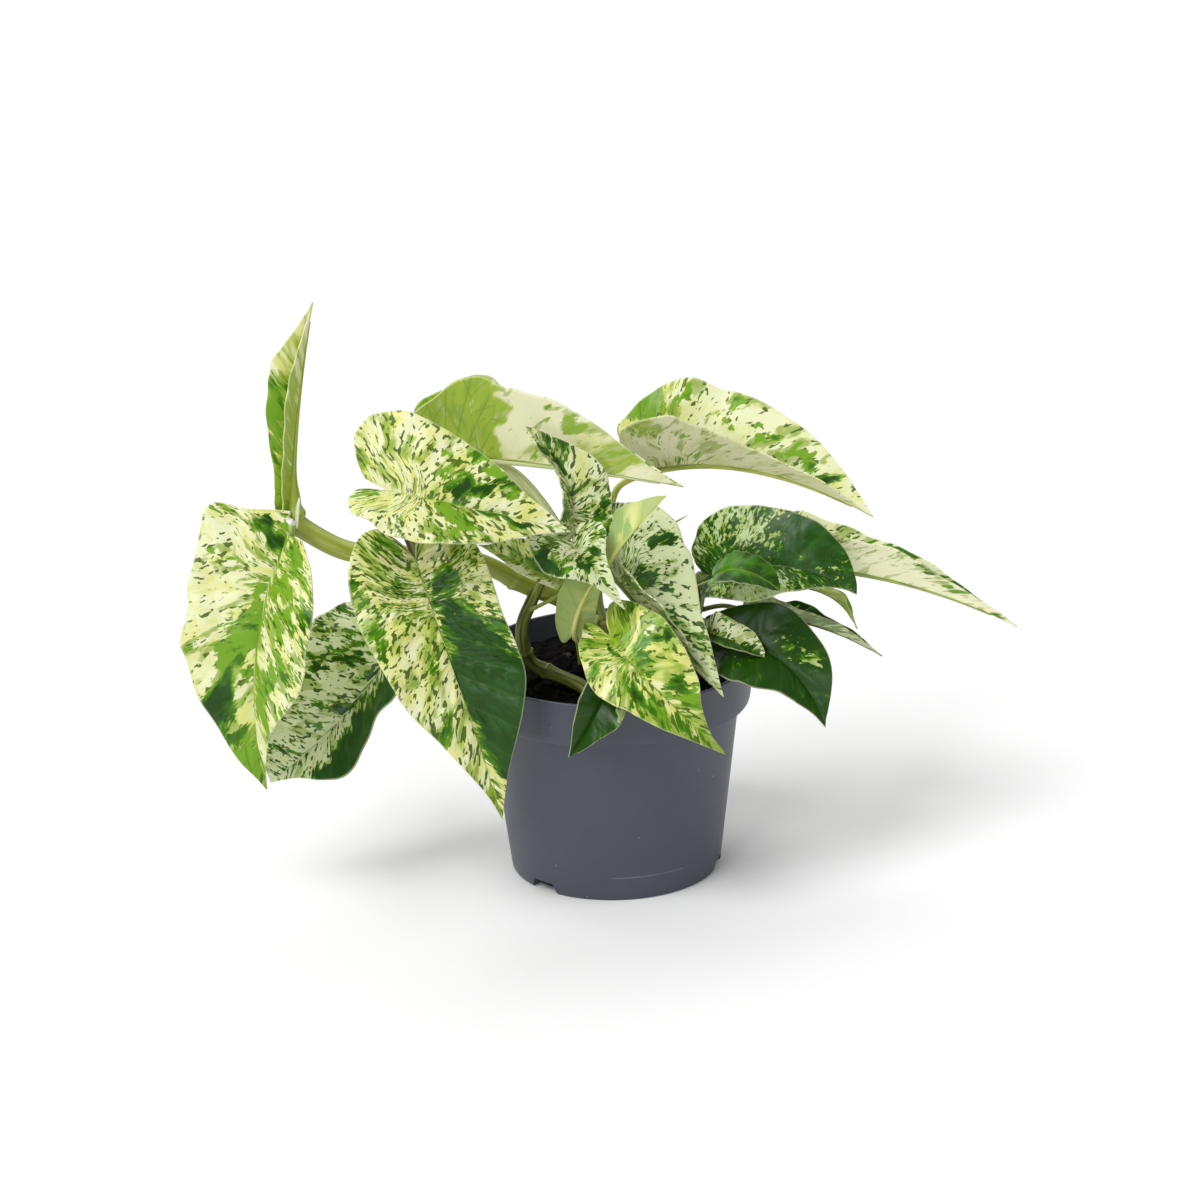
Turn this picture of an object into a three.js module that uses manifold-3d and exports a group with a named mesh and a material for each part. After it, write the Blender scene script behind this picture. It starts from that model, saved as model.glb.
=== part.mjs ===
// A marble queen pothos in a 12 cm grower's pot. Millimetres, +Z up.
// The origin is the middle of the pot's underside, and the plant's open side faces -Y.

import * as THREE from 'three';
import { mergeVertices } from 'three/addons/utils/BufferGeometryUtils.js';
import Module from 'manifold-3d';

const wasm = await Module();
wasm.setup();

// Pot: a tapered body, a rim band that steps out at its top, and a flat foot
const POT_HEIGHT = 94;
const RIM_RADIUS = 60;
const RIM_BAND = 18;
const BODY_TOP_RADIUS = 54;
const BODY_BASE_RADIUS = 45.5;
const WALL = 1.2;
const FOOT_THICKNESS = 1.6;
const POT_SIDES = 44;

// Notches in the foot, with a drain hole in the roof of each
const NOTCH_ANGLES = [-134, -14, 106];
const NOTCH_WIDTH = 13;
const NOTCH_HEIGHT = 4.5;
const NOTCH_DEPTH = 7;
const DRAIN_RADIUS = 2.2;

// Soil
const SOIL_HEIGHT = 85;
const SOIL_LUMP = 1.4;
const SOIL_SIDES = 32;
const SOIL_RINGS = 6;

// Clearance between pieces that touch
const GAP = 0.3;

// Leaf blade: its thickness, and the rows of veins and the columns of each half of a large leaf
// and a small one
const BLADE = 0.8;
const LARGE = { rows: 11, columns: 3 };
const SMALL = { rows: 8, columns: 2 };

// Outlines of half a blade. Each point is across (of the half width), along (of the length) and
// the place on the midrib where the vein that ends there begins. HEART has a lobe that stands
// back past the base, ROUND has hardly any, and EGG and ROLLED are widest nearer the tip.
const HEART = [
  [0.10, -0.07, 0],
  [0.38, -0.11, 0],
  [0.72, -0.09, 0.005],
  [0.95, 0.04, 0.03],
  [1.0, 0.2, 0.09],
  [0.92, 0.4, 0.25],
  [0.7, 0.61, 0.46],
  [0.36, 0.79, 0.68],
  [0.1, 0.91, 0.86],
  [0, 1, 1],
];
const EGG = [
  [0.26, 0, 0],
  [0.54, 0.06, 0.01],
  [0.79, 0.16, 0.05],
  [0.95, 0.27, 0.13],
  [1.0, 0.39, 0.23],
  [0.91, 0.51, 0.35],
  [0.64, 0.62, 0.48],
  [0.32, 0.74, 0.63],
  [0.12, 0.87, 0.8],
  [0, 1, 1],
];
const ROUND = [
  [0.22, -0.03, 0],
  [0.5, -0.02, 0],
  [0.76, 0.04, 0.01],
  [0.93, 0.12, 0.04],
  [1.0, 0.24, 0.12],
  [0.95, 0.41, 0.26],
  [0.72, 0.6, 0.46],
  [0.38, 0.77, 0.67],
  [0.12, 0.9, 0.85],
  [0, 1, 1],
];
const ROLLED = [
  [0.2, 0, 0],
  [0.5, 0.03, 0.01],
  [0.72, 0.12, 0.05],
  [0.88, 0.26, 0.16],
  [0.97, 0.42, 0.31],
  [1.0, 0.57, 0.46],
  [0.82, 0.7, 0.6],
  [0.42, 0.81, 0.73],
  [0.15, 0.91, 0.87],
  [0, 1, 1],
];

// Stems: the points of the middle line, the radius at the foot and the top, and the places of
// the nodes, from 0 at the foot to 1 at the top. shoot is a rolled new leaf at the top.
const STEMS = {
  stem_left: {
    colour: '#9fb35c',
    path: [[-10, 14, 72], [-12, 12, 98], [-18, 5, 116], [-34, -3, 127], [-57, -11, 142],
      [-84, -17, 147], [-109, -23, 152], [-133, -27, 168]],
    radius: [3.6, 4.4],
    nodes: [0.42, 0.98],
  },
  stem_front: {
    colour: '#6f7a3a',
    path: [[-6, -26, 74], [-8, -25, 84], [-13, -21, 88], [-19, -15, 89], [-28, -9, 91],
      [-34, -9, 95], [-37, -10, 102], [-37, -11, 113], [-33, -11, 122]],
    radius: [3.2, 2.6],
    nodes: [0.48, 0.66],
  },
  stem_middle: {
    colour: '#93a653',
    path: [[-2, 2, 72], [-3, 2, 100], [-6, 2, 120], [-5, 3, 138]],
    radius: [3.4, 2.8],
    nodes: [0.55, 0.9],
    shoot: [[-5, 3, 136], [5, 10, 141], [20, 16, 143], [34, 20, 149]],
  },
  stem_right: {
    colour: '#7f9148',
    path: [[31, 4, 72], [33, 4, 98], [37, 3, 115], [39, 3, 128]],
    radius: [3.2, 2.6],
    nodes: [0.6, 0.9],
  },
};

// Leaves. base, mid and tip lie on the midrib, and face is the way that the upper side looks.
// half, fold, curl and lobe each give the left and the right half, seen from above with the tip
// ahead: the half width, the angle that the half is folded up, the angle that its margin curls
// back, how far the heart's lobe stands back and the outline. full makes the middle of the
// outline wider or narrower, and twist turns the blade about its midrib from base to tip. stalk
// lists the points from the stem to the base, and thick swells it half way. Angles are in degrees.
const LEAVES = [
  {
    name: 'leaf_left_upright', colour: '#a9b45f', stem: 'stem_left', outline: [ROLLED, ROLLED],
    base: [-131, -27, 174], mid: [-129, -22, 216], tip: [-118, -16, 257],
    face: [-0.77, -0.64, 0], half: [12, 12], fold: [72, 72], curl: [20, 20],
    stalk: [[-129, -27, 165]],
  },
  {
    name: 'leaf_left_hanging', colour: '#b9c57f', stem: 'stem_left',
    base: [-131, -34, 163], mid: [-147, -44, 111], tip: [-146, -38, 52],
    face: [-0.45, -1, 0.2], half: [32, 33], fold: [28, 28], curl: [10, 10], lobe: [1, 0.5],
    outline: [EGG, HEART],
    stalk: [[-129, -27, 165], [-130, -32, 167]],
  },
  {
    name: 'leaf_left_behind', colour: '#98ab68', stem: 'stem_front',
    base: [-86, -2, 115], mid: [-110, -12, 79], tip: [-146, -18, 47],
    face: [-0.39, -0.57, 0.62], half: [31, 34], fold: [28, 28], curl: [12, 10], twist: -40,
    outline: [ROLLED, ROLLED],
    stalk: [[-29, -6, 91], [-50, 4, 103], [-72, 4, 114]],
  },
  {
    name: 'leaf_front_left', colour: '#7f9a56', stem: 'stem_left',
    base: [-79, -46, 155], mid: [-63, -62, 107], tip: [-47, -58, 44],
    face: [0.1, -0.94, 0.3], half: [31, 30], fold: [16, 16], curl: [8, 8], full: [0, -0.06],
    stalk: [[-74, -15, 147], [-84, -28, 160], [-83, -38, 163]],
  },
  {
    name: 'leaf_upper_left', colour: '#c3ca8c', stem: 'stem_left',
    base: [-89, -46, 185], mid: [-56, -50, 178], tip: [-15, -48, 166],
    face: [0, -0.7, 0.71], half: [37, 30], fold: [25, 25], curl: [8, 8], lobe: [2, 1.5],
    full: [-0.15, -0.15],
    stalk: [[-53, -9, 139], [-66, -22, 168], [-80, -40, 183]],
  },
  {
    name: 'leaf_top_middle', colour: '#b4c061', stem: 'stem_middle',
    base: [-69, 2, 185], mid: [-24, 2, 179], tip: [32, -2, 169],
    face: [0, 0.1, 1], half: [29, 36], fold: [70, 84], curl: [8, 8],
    outline: [HEART, ROUND], full: [-0.2, -0.2], thick: 1.8,
    stalk: [[-6, 2, 122], [-18, 5, 144], [-29, 6, 162], [-40, 6, 175], [-56, 4, 183]],
  },
  {
    name: 'leaf_top_right', colour: '#c0c98c', stem: 'stem_middle',
    base: [15, 36, 164], mid: [61, 33, 165], tip: [113, 20, 146],
    face: [0, -0.13, 0.99], half: [39, 37], fold: [63, 63], curl: [10, 10], outline: [ROUND, HEART],
    lobe: [1, 0.6], full: [-0.1, -0.12],
    stalk: [[-5, 3, 132], [1, 24, 151], [5, 31, 159]],
  },
  {
    name: 'leaf_middle_upright', colour: '#a3b277', stem: 'stem_middle',
    base: [-15, -18, 155], mid: [-17, -13, 177], tip: [-33, -14, 201],
    face: [0.64, -0.72, 0.26], half: [15, 17], fold: [40, 40], curl: [10, 10],
    stalk: [[-5, 2, 134], [-10, -9, 146]],
  },
  {
    name: 'leaf_middle_marbled', colour: '#a3b277', stem: 'stem_middle',
    base: [-15, -34, 157], mid: [-7, -46, 149], tip: [6, -55, 134],
    face: [0.2, -0.7, 0.7], half: [8, 22], fold: [45, 15], curl: [8, 8], lobe: [0, 1.2],
    stalk: [[-5, 2, 116], [-8, -18, 138], [-13, -32, 152]],
  },
  {
    name: 'leaf_middle_left', colour: '#8da257', stem: 'stem_front',
    base: [-18, -16, 130], mid: [-36, -20, 143], tip: [-54, -26, 154],
    face: [-0.2, -0.75, 0.6], half: [14, 14], fold: [25, 25], curl: [8, 8],
    stalk: [[-34, -11, 119], [-23, -15, 126]],
  },
  {
    name: 'leaf_middle_young', colour: '#d3d893', stem: 'stem_middle',
    base: [-15, -35, 118], mid: [-2, -39, 141], tip: [24, -40, 176],
    face: [0.3, 0.9, 0.1], half: [8, 8], fold: [35, 35], curl: [8, 8],
    stalk: [[-5, 2, 112], [-12, -22, 109]],
  },
  {
    name: 'leaf_middle_right', colour: '#a5b080', stem: 'stem_middle',
    base: [-2, -16, 142], mid: [17, -30, 121], tip: [46, -48, 92],
    face: [0.62, -0.33, 0.71], half: [33, 19], fold: [57, 57], curl: [10, 10], lobe: [2.2, 0.2],
    full: [-0.12, 0],
    stalk: [[-5, 2, 122], [-4, -8, 136]],
  },
  {
    name: 'leaf_front_middle', colour: '#c0ca7c', stem: 'stem_middle',
    base: [0, -50, 120], mid: [19, -66, 102], tip: [46, -62, 72],
    face: [0.1, -0.85, 0.5], half: [21, 16], fold: [14, 14], curl: [8, 8], lobe: [1.7, 1.5],
    full: [0, 0.12],
    stalk: [[-4, 2, 98], [-2, -24, 110], [0, -44, 119]],
  },
  {
    name: 'leaf_front_small', colour: '#6f8a44', stem: 'stem_front', size: SMALL,
    base: [-2, -54, 101], mid: [-7, -64, 92], tip: [-19, -66, 74],
    face: [0.3, -0.85, 0.4], half: [13, 13], fold: [30, 30], curl: [8, 8],
    stalk: [[-5, -26, 85], [-2, -40, 98]],
  },
  {
    name: 'leaf_right_marbled', colour: '#5e7f4c', stem: 'stem_right',
    base: [42, -3, 130], mid: [73, -15, 137], tip: [103, -21, 126],
    face: [0, -0.65, 0.76], half: [25, 27], fold: [29, 20], curl: [10, 10], lobe: [0.6, 0.3],
    full: [0.1, 0.1],
    stalk: [[38, 3, 120], [38, -3, 128]],
  },
  {
    name: 'leaf_right_plain', colour: '#4f7c38', stem: 'stem_right', size: SMALL,
    base: [43, -31, 139], mid: [55, -38, 144], tip: [70, -40, 135],
    face: [0, -0.4, 0.9], half: [9, 9], fold: [5, 5], curl: [6, 6],
    stalk: [[39, 3, 126], [36, -4, 133], [39, -12, 138], [43, -22, 141]],
  },
  {
    name: 'leaf_far_right', colour: '#c6cd9a', stem: 'stem_right',
    base: [58, 14, 129], mid: [117, 14, 121], tip: [173, 6, 100],
    face: [0, 0, 1], half: [22, 22], fold: [68, 68], curl: [6, 6], full: [-0.05, -0.05],
    stalk: [[39, 3, 126], [50, 12, 131]],
  },
  {
    name: 'leaf_right_olive', colour: '#93a45c', stem: 'stem_right', size: SMALL,
    base: [77, 8, 121], mid: [95, 10, 114], tip: [105, 8, 100],
    face: [0, 0, 1], half: [5, 5], fold: [50, 50], curl: [6, 6],
    stalk: [[38, 3, 120], [56, 10, 122]],
  },
  {
    name: 'leaf_right_striped', colour: '#9aa677', stem: 'stem_right', size: SMALL,
    base: [63, 0, 112], mid: [91, 0, 104], tip: [115, -2, 91],
    face: [0, 0, 1], half: [10, 10], fold: [60, 60], curl: [6, 6], full: [-0.3, -0.3],
    stalk: [[37, 3, 112], [48, 3, 114]],
  },
  {
    name: 'leaf_right_dark', colour: '#3c6a28', stem: 'stem_right',
    base: [43, -15, 101], mid: [70, -26, 100], tip: [89, -32, 71],
    face: [0, -0.65, 0.76], half: [22, 21], fold: [25, 25], curl: [10, 10], lobe: [0.5, 1],
    full: [0.1, 0.1],
    stalk: [[34, 3, 100], [38, -8, 102]],
  },
  {
    name: 'leaf_right_inner', colour: '#7d9456', stem: 'stem_right', size: SMALL,
    base: [38, -15, 109], mid: [51, -25, 108], tip: [64, -29, 102],
    face: [0, -0.6, 0.8], half: [9, 9], fold: [40, 30], curl: [6, 6],
    stalk: [[36, 3, 110], [35, -7, 111]],
  },
];

const vector = (p) => new THREE.Vector3(...p);
const radians = THREE.MathUtils.degToRad;

/** A closed three.js geometry as a solid: points that lie together are made one point, and
 * triangles without area are left out. */
function toSolid(geometry) {
  geometry.deleteAttribute('normal');
  geometry.deleteAttribute('uv');
  const joined = mergeVertices(geometry, 1e-4);
  const corners = joined.index.array;
  const kept = [];
  for (let i = 0; i < corners.length; i += 3) {
    const [a, b, c] = corners.slice(i, i + 3);
    if (a !== b && b !== c && c !== a) kept.push(a, b, c);
  }
  const mesh = new wasm.Mesh({
    numProp: 3,
    vertProperties: new Float32Array(joined.getAttribute('position').array),
    triVerts: new Uint32Array(kept),
  });
  return new wasm.Manifold(mesh);
}

/** A solid as a three.js geometry. */
function toGeometry(solid) {
  const mesh = solid.getMesh();
  const geometry = new THREE.BufferGeometry();
  geometry.setAttribute('position', new THREE.BufferAttribute(mesh.vertProperties, 3));
  geometry.setIndex(new THREE.BufferAttribute(mesh.triVerts, 1));
  return geometry;
}

/** A geometry from lists of points and triangles. */
function fromFaces(points, triangles) {
  const geometry = new THREE.BufferGeometry();
  geometry.setFromPoints(points);
  geometry.setIndex(triangles.flat());
  return geometry;
}

/** A tapered round limb along a curve: rings of points joined in a closed skin. */
function limb(curve, radiusAt, sides, steps) {
  const points = [];
  const triangles = [];
  let across = new THREE.Vector3(0.31, 0.93, 0.2);
  for (let i = 0; i <= steps; i += 1) {
    const centre = curve.getPointAt(i / steps);
    const ahead = curve.getTangentAt(i / steps);
    across = across.clone().addScaledVector(ahead, -across.dot(ahead)).normalize();
    const up = ahead.clone().cross(across);
    for (let j = 0; j < sides; j += 1) {
      const turn = (2 * Math.PI * j) / sides;
      const radius = radiusAt(i / steps);
      points.push(centre.clone()
        .addScaledVector(across, radius * Math.cos(turn))
        .addScaledVector(up, radius * Math.sin(turn)));
    }
  }
  for (let i = 0; i < steps; i += 1) {
    for (let j = 0; j < sides; j += 1) {
      const next = (j + 1) % sides;
      const [a, b] = [i * sides + j, i * sides + next];
      triangles.push([a, b, b + sides], [a, b + sides, a + sides]);
    }
  }
  for (let j = 1; j < sides - 1; j += 1) {
    const last = steps * sides;
    triangles.push([0, j + 1, j], [last, last + j, last + j + 1]);
  }
  return fromFaces(points, triangles);
}

/** The closed round body that a profile from the axis back to the axis sweeps. */
function turned(profile, sides) {
  const lathe = new THREE.LatheGeometry(profile.map(([r, z]) => new THREE.Vector2(r, z)), sides);
  lathe.rotateX(Math.PI / 2);
  return toSolid(lathe);
}

/** The midrib's curve through base, mid and tip. */
function spineOf(leaf) {
  const [base, mid, tip] = [vector(leaf.base), vector(leaf.mid), vector(leaf.tip)];
  const pull = mid.clone().multiplyScalar(2).addScaledVector(base.clone().add(tip), -0.5);
  return new THREE.QuadraticBezierCurve3(base, pull, tip);
}

/** The frame of a blade at a place along its midrib: ahead, up and right. */
function frameAt(leaf, spine, along) {
  const place = THREE.MathUtils.clamp(along, 0, 1);
  const ahead = spine.getTangentAt(place);
  const face = vector(leaf.face);
  const up = face.addScaledVector(ahead, -face.dot(ahead)).normalize();
  up.applyAxisAngle(ahead, radians((leaf.twist ?? 0) * (place - 0.3)));
  const right = ahead.clone().cross(up);
  const centre = spine.getPointAt(place).addScaledVector(ahead, (along - place) * spine.getLength());
  return { ahead, up, right, centre };
}

/** A point of a blade's middle surface and its upward normal. */
function bladePoint(leaf, spine, side, across, along, ripple) {
  const { up, right, centre } = frameAt(leaf, spine, along);
  const k = side < 0 ? 0 : 1;
  const half = leaf.half[k];
  const fold = radians(leaf.fold[k]);
  const curl = radians(leaf.curl[k]);
  const bend = fold - curl * across;
  const out = (half / curl) * (Math.sin(fold) - Math.sin(bend));
  const rise = (half / curl) * (Math.cos(bend) - Math.cos(fold));
  const point = centre.addScaledVector(right, side * out).addScaledVector(up, rise + ripple);
  const normal = up.clone().multiplyScalar(Math.cos(bend))
    .addScaledVector(right, -side * Math.sin(bend));
  return { point, normal };
}

/** The blade of a leaf: two faces of the same triangles, and a narrow margin around them. */
function blade(leaf, spine) {
  const { rows, columns } = leaf.size ?? LARGE;
  const outlines = (leaf.outline ?? [HEART, HEART]).map(
    (shape) => new THREE.CatmullRomCurve3(shape.map(vector), false, 'catmullrom', 0.5),
  );
  const wave = leaf.wave ?? 1.2;
  const points = [];
  const add = (point, normal, thick) => {
    points.push(point.clone().addScaledVector(normal, thick / 2));
    points.push(point.clone().addScaledVector(normal, -thick / 2));
    return points.length - 2;
  };
  const ridge = 1 / Math.max(0.5, Math.cos(radians((leaf.fold[0] + leaf.fold[1]) / 2)));
  const midribPoint = (along) => {
    const { up, centre } = frameAt(leaf, spine, along);
    return add(centre, up, BLADE * ridge);
  };
  const base = midribPoint(0);
  const tip = midribPoint(1);
  const grid = [];
  // Each row of points follows a vein from the margin of one half to that of the other
  for (let i = 0; i < rows; i += 1) {
    const halves = [-1, 1].map((side, k) => {
      const end = outlines[k].getPoint(i / rows);
      const root = Math.max(0, end.z);
      const full = 1 + (leaf.full?.[k] ?? 0) * Math.sin(Math.PI * Math.max(0, end.y));
      const width = end.x * full;
      const lobe = end.y < 0 ? (leaf.lobe?.[k] ?? 1.2) : 1;
      const turns = (3.2 * i) / rows + 0.3 * k;
      return Array.from({ length: columns }, (_, j) => {
        const r = (j + 1) / columns;
        const along = THREE.MathUtils.lerp(root, end.y * lobe, r);
        const ripple = wave * r * r * width * Math.sin(2 * Math.PI * turns);
        const { point, normal } = bladePoint(leaf, spine, side, width * r, along, ripple);
        return add(point, normal, BLADE);
      });
    });
    const root = outlines[0].getPoint(i / rows).z;
    const middle = root < 0.004 ? base : midribPoint(root);
    const row = [...halves[0].reverse(), middle, ...halves[1]];
    grid.push(row);
  }
  grid.push(new Array(2 * columns + 1).fill(tip));

  const triangles = [];
  const quad = (a, b, c, d) => triangles.push([a, b, c], [a, c, d]);
  for (let i = 0; i < rows; i += 1) {
    for (let j = 0; j < 2 * columns; j += 1) {
      const [a, b, c, d] = [grid[i][j], grid[i][j + 1], grid[i + 1][j + 1], grid[i + 1][j]];
      quad(a, b, c, d);
      quad(d + 1, c + 1, b + 1, a + 1);
    }
  }
  // The margin runs from the tip up the left side, across the base and down to the tip again
  const rim = [];
  for (let i = rows; i > 0; i -= 1) rim.push(grid[i][0]);
  for (let j = 0; j < 2 * columns; j += 1) rim.push(grid[0][j]);
  for (let i = 0; i <= rows; i += 1) rim.push(grid[i][2 * columns]);
  for (let i = 0; i + 1 < rim.length; i += 1) {
    quad(rim[i], rim[i] + 1, rim[i + 1] + 1, rim[i + 1]);
  }
  return fromFaces(points, triangles);
}

/** A leaf: its blade, the midrib under it, and the stalk that carries it. */
function leafSolid(leaf) {
  const spine = spineOf(leaf);
  let solid = toSolid(blade(leaf, spine));
  const underside = [];
  for (const along of [0, 0.2, 0.4, 0.6, 0.8]) {
    const { up, centre } = frameAt(leaf, spine, along);
    underside.push(centre.addScaledVector(up, -0.5));
  }
  const size = Math.min(1, spine.getLength() / 90);
  const rib = limb(new THREE.CatmullRomCurve3(underside), (t) => (1.3 - 0.8 * t) * size, 5, 5);
  solid = solid.add(toSolid(rib));
  const path = [...leaf.stalk.map(vector), underside[0]];
  const stalkCurve = path.length > 2 ? new THREE.CatmullRomCurve3(path)
    : new THREE.LineCurve3(path[0], path[1]);
  const sheath = (leaf.thick ?? 1) - 1;
  const radiusAt = (t) => (1.9 - 0.4 * t) * size * (1 + sheath * Math.sin(Math.PI * t) ** 2);
  const stalk = limb(stalkCurve, radiusAt, 6, 2 * path.length - 1);
  return solid.add(toSolid(stalk));
}

/** A stem with a slight swelling at each node, made wider by a margin. A stem may end in a
 * rolled new leaf, the thin tapered shoot. */
function stemSolid(stem, extra) {
  const curve = new THREE.CatmullRomCurve3(stem.path.map(vector));
  const [foot, top] = stem.radius;
  const swell = (t) => stem.nodes.reduce((sum, n) => sum + 0.5 * Math.exp(-(((t - n) * 40) ** 2)), 0);
  const radiusAt = (t) => THREE.MathUtils.lerp(foot, top, t) + swell(t) + extra;
  const solid = toSolid(limb(curve, radiusAt, 8, Math.round(stem.path.length * 2.6)));
  if (!stem.shoot) return solid;
  const shoot = new THREE.CatmullRomCurve3(stem.shoot.map(vector));
  return solid.add(toSolid(limb(shoot, (t) => 1.6 - 1.3 * t * t + extra, 6, 7)));
}

/** The pot's inner and outer profile, from the axis below to the axis inside. */
function potProfile() {
  const bandFoot = POT_HEIGHT - RIM_BAND;
  const outer = [
    [0, 0], [BODY_BASE_RADIUS - 2, 0], [BODY_BASE_RADIUS - 0.4, 0.6], [BODY_BASE_RADIUS, 2],
    [BODY_TOP_RADIUS, bandFoot - 2.5], [RIM_RADIUS - 2.2, bandFoot - 1.2],
    [RIM_RADIUS - 1.1, bandFoot + 0.4], [RIM_RADIUS - 0.9, bandFoot + 3],
    [RIM_RADIUS, POT_HEIGHT - 0.8], [RIM_RADIUS - 0.3, POT_HEIGHT],
  ];
  const inner = [
    [RIM_RADIUS - 1.5, POT_HEIGHT], [RIM_RADIUS - WALL - 0.9, bandFoot + 1.5],
    [BODY_TOP_RADIUS - WALL, bandFoot], [BODY_BASE_RADIUS - WALL, FOOT_THICKNESS + 1.5],
    [BODY_BASE_RADIUS - WALL - 1.5, FOOT_THICKNESS], [0, FOOT_THICKNESS],
  ];
  return [...outer, ...inner];
}

/** A block across the foot at a notch, grown by a margin, with sides that lean in. */
function notchBlock(angle, margin) {
  const inner = BODY_BASE_RADIUS - NOTCH_DEPTH - margin;
  const outer = BODY_BASE_RADIUS + 6;
  const low = NOTCH_WIDTH / 2 + 1.2 + margin;
  const high = NOTCH_WIDTH / 2 - 1.2 + margin;
  const top = NOTCH_HEIGHT + margin;
  const shape = new THREE.Shape([
    new THREE.Vector2(-low, -1), new THREE.Vector2(low, -1),
    new THREE.Vector2(high, top), new THREE.Vector2(-high, top),
  ]);
  const block = new THREE.ExtrudeGeometry(shape, { depth: outer - inner, bevelEnabled: false });
  block.rotateX(Math.PI / 2);
  block.rotateZ(Math.PI / 2);
  block.translate(inner, 0, 0);
  block.rotateZ(radians(angle));
  return block;
}

/** The thin-walled pot, with a step in its foot at each notch. */
function pot() {
  let solid = turned(potProfile(), POT_SIDES);
  const body = turned([
    [0, 0], [BODY_BASE_RADIUS - 2, 0], [BODY_BASE_RADIUS - 0.4, 0.6], [BODY_BASE_RADIUS, 2],
    [BODY_BASE_RADIUS + 1, 12], [0, 12],
  ], POT_SIDES);
  for (const angle of NOTCH_ANGLES) {
    solid = solid.add(toSolid(notchBlock(angle, WALL)).intersect(body));
    solid = solid.subtract(toSolid(notchBlock(angle, 0)));
    const hole = new THREE.CylinderGeometry(DRAIN_RADIUS, DRAIN_RADIUS, 6, 10);
    hole.rotateX(Math.PI / 2);
    hole.translate(BODY_BASE_RADIUS - NOTCH_DEPTH + 3.4, 0, NOTCH_HEIGHT + 1);
    hole.rotateZ(radians(angle));
    solid = solid.subtract(toSolid(hole));
  }
  return solid;
}

/** The height of the soil's lumpy surface at a place. */
function soilHeight(x, y) {
  const lumps = Math.sin(x * 0.31 + 1.3) * Math.cos(y * 0.27 + 0.4)
    + 0.6 * Math.sin(x * 0.63 + y * 0.41) + 0.4 * Math.cos(y * 0.83 - x * 0.37);
  return SOIL_HEIGHT + SOIL_LUMP * 0.6 * lumps;
}

/** The skin of the potting mix: rings of points up the wall and in over the lumpy top. */
function soilSkin() {
  const bandFoot = POT_HEIGHT - RIM_BAND;
  const slope = (BODY_TOP_RADIUS - BODY_BASE_RADIUS) / (bandFoot - 4.5);
  const low = FOOT_THICKNESS + 1.5 + GAP;
  const walls = [
    [BODY_BASE_RADIUS - WALL - 1.6 - GAP, FOOT_THICKNESS + GAP],
    [BODY_BASE_RADIUS - WALL - 2 * GAP + slope * (low - 2), low],
    [BODY_TOP_RADIUS - WALL - 2 * GAP, bandFoot],
    [BODY_TOP_RADIUS - WALL - GAP + 1.5, bandFoot + 1.5],
  ];
  const edge = walls[3][0] + 0.8;
  const points = [new THREE.Vector3(0, 0, walls[0][1])];
  const starts = [];
  const ring = (radius, height) => {
    starts.push(points.length);
    for (let j = 0; j < SOIL_SIDES; j += 1) {
      const turn = (2 * Math.PI * j) / SOIL_SIDES;
      const [x, y] = [radius * Math.cos(turn), radius * Math.sin(turn)];
      points.push(new THREE.Vector3(x, y, height ?? soilHeight(x, y)));
    }
  };
  walls.forEach(([radius, height]) => ring(radius, height));
  for (let i = SOIL_RINGS; i > 0; i -= 1) ring((edge * i) / SOIL_RINGS);
  points.push(new THREE.Vector3(0, 0, soilHeight(0, 0)));

  const triangles = [];
  const [first, last, top] = [starts[0], starts[starts.length - 1], points.length - 1];
  for (let j = 0; j < SOIL_SIDES; j += 1) {
    const next = (j + 1) % SOIL_SIDES;
    triangles.push([0, first + next, first + j], [last + j, last + next, top]);
    for (let i = 0; i + 1 < starts.length; i += 1) {
      const [a, b] = [starts[i], starts[i + 1]];
      triangles.push([a + j, a + next, b + next], [a + j, b + next, b + j]);
    }
  }
  return toSolid(fromFaces(points, triangles));
}

/** The potting mix, cut clear of the notches in the foot and of the stems. */
function soil(stems) {
  let solid = soilSkin();
  for (const angle of NOTCH_ANGLES) {
    solid = solid.subtract(toSolid(notchBlock(angle, WALL + GAP)));
  }
  for (const stem of stems) solid = solid.subtract(stem);
  return solid;
}

const pothos = new THREE.Group();

/** Adds a named mesh to the plant. */
function place(name, solid, colour, roughness) {
  const material = new THREE.MeshStandardMaterial({ color: colour, roughness, metalness: 0 });
  const mesh = new THREE.Mesh(toGeometry(solid), material);
  mesh.name = name;
  pothos.add(mesh);
}

const stemNames = Object.keys(STEMS);
const wideStems = Object.fromEntries(stemNames.map((n) => [n, stemSolid(STEMS[n], GAP)]));

place('pot', pot(), '#54565f', 0.5);
place('soil', soil(Object.values(wideStems)), '#2b221d', 0.95);
for (const name of stemNames) place(name, stemSolid(STEMS[name], 0), STEMS[name].colour, 0.5);
for (const leaf of LEAVES) {
  place(leaf.name, leafSolid(leaf).subtract(wideStems[leaf.stem]), leaf.colour, 0.45);
}

export default pothos;
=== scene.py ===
"""Potted marble queen pothos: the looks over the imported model.

Metres, +Z up, origin in the middle of the pot's underside, the open side of the plant at -Y.
Lengths in the tables are millimetres, as in the part's source, and are turned to metres once.
"""

import logging
import math
from dataclasses import astuple, dataclass, field
from enum import Enum

import bpy
import numpy as np
from mathutils import Matrix, Vector, noise

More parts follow.
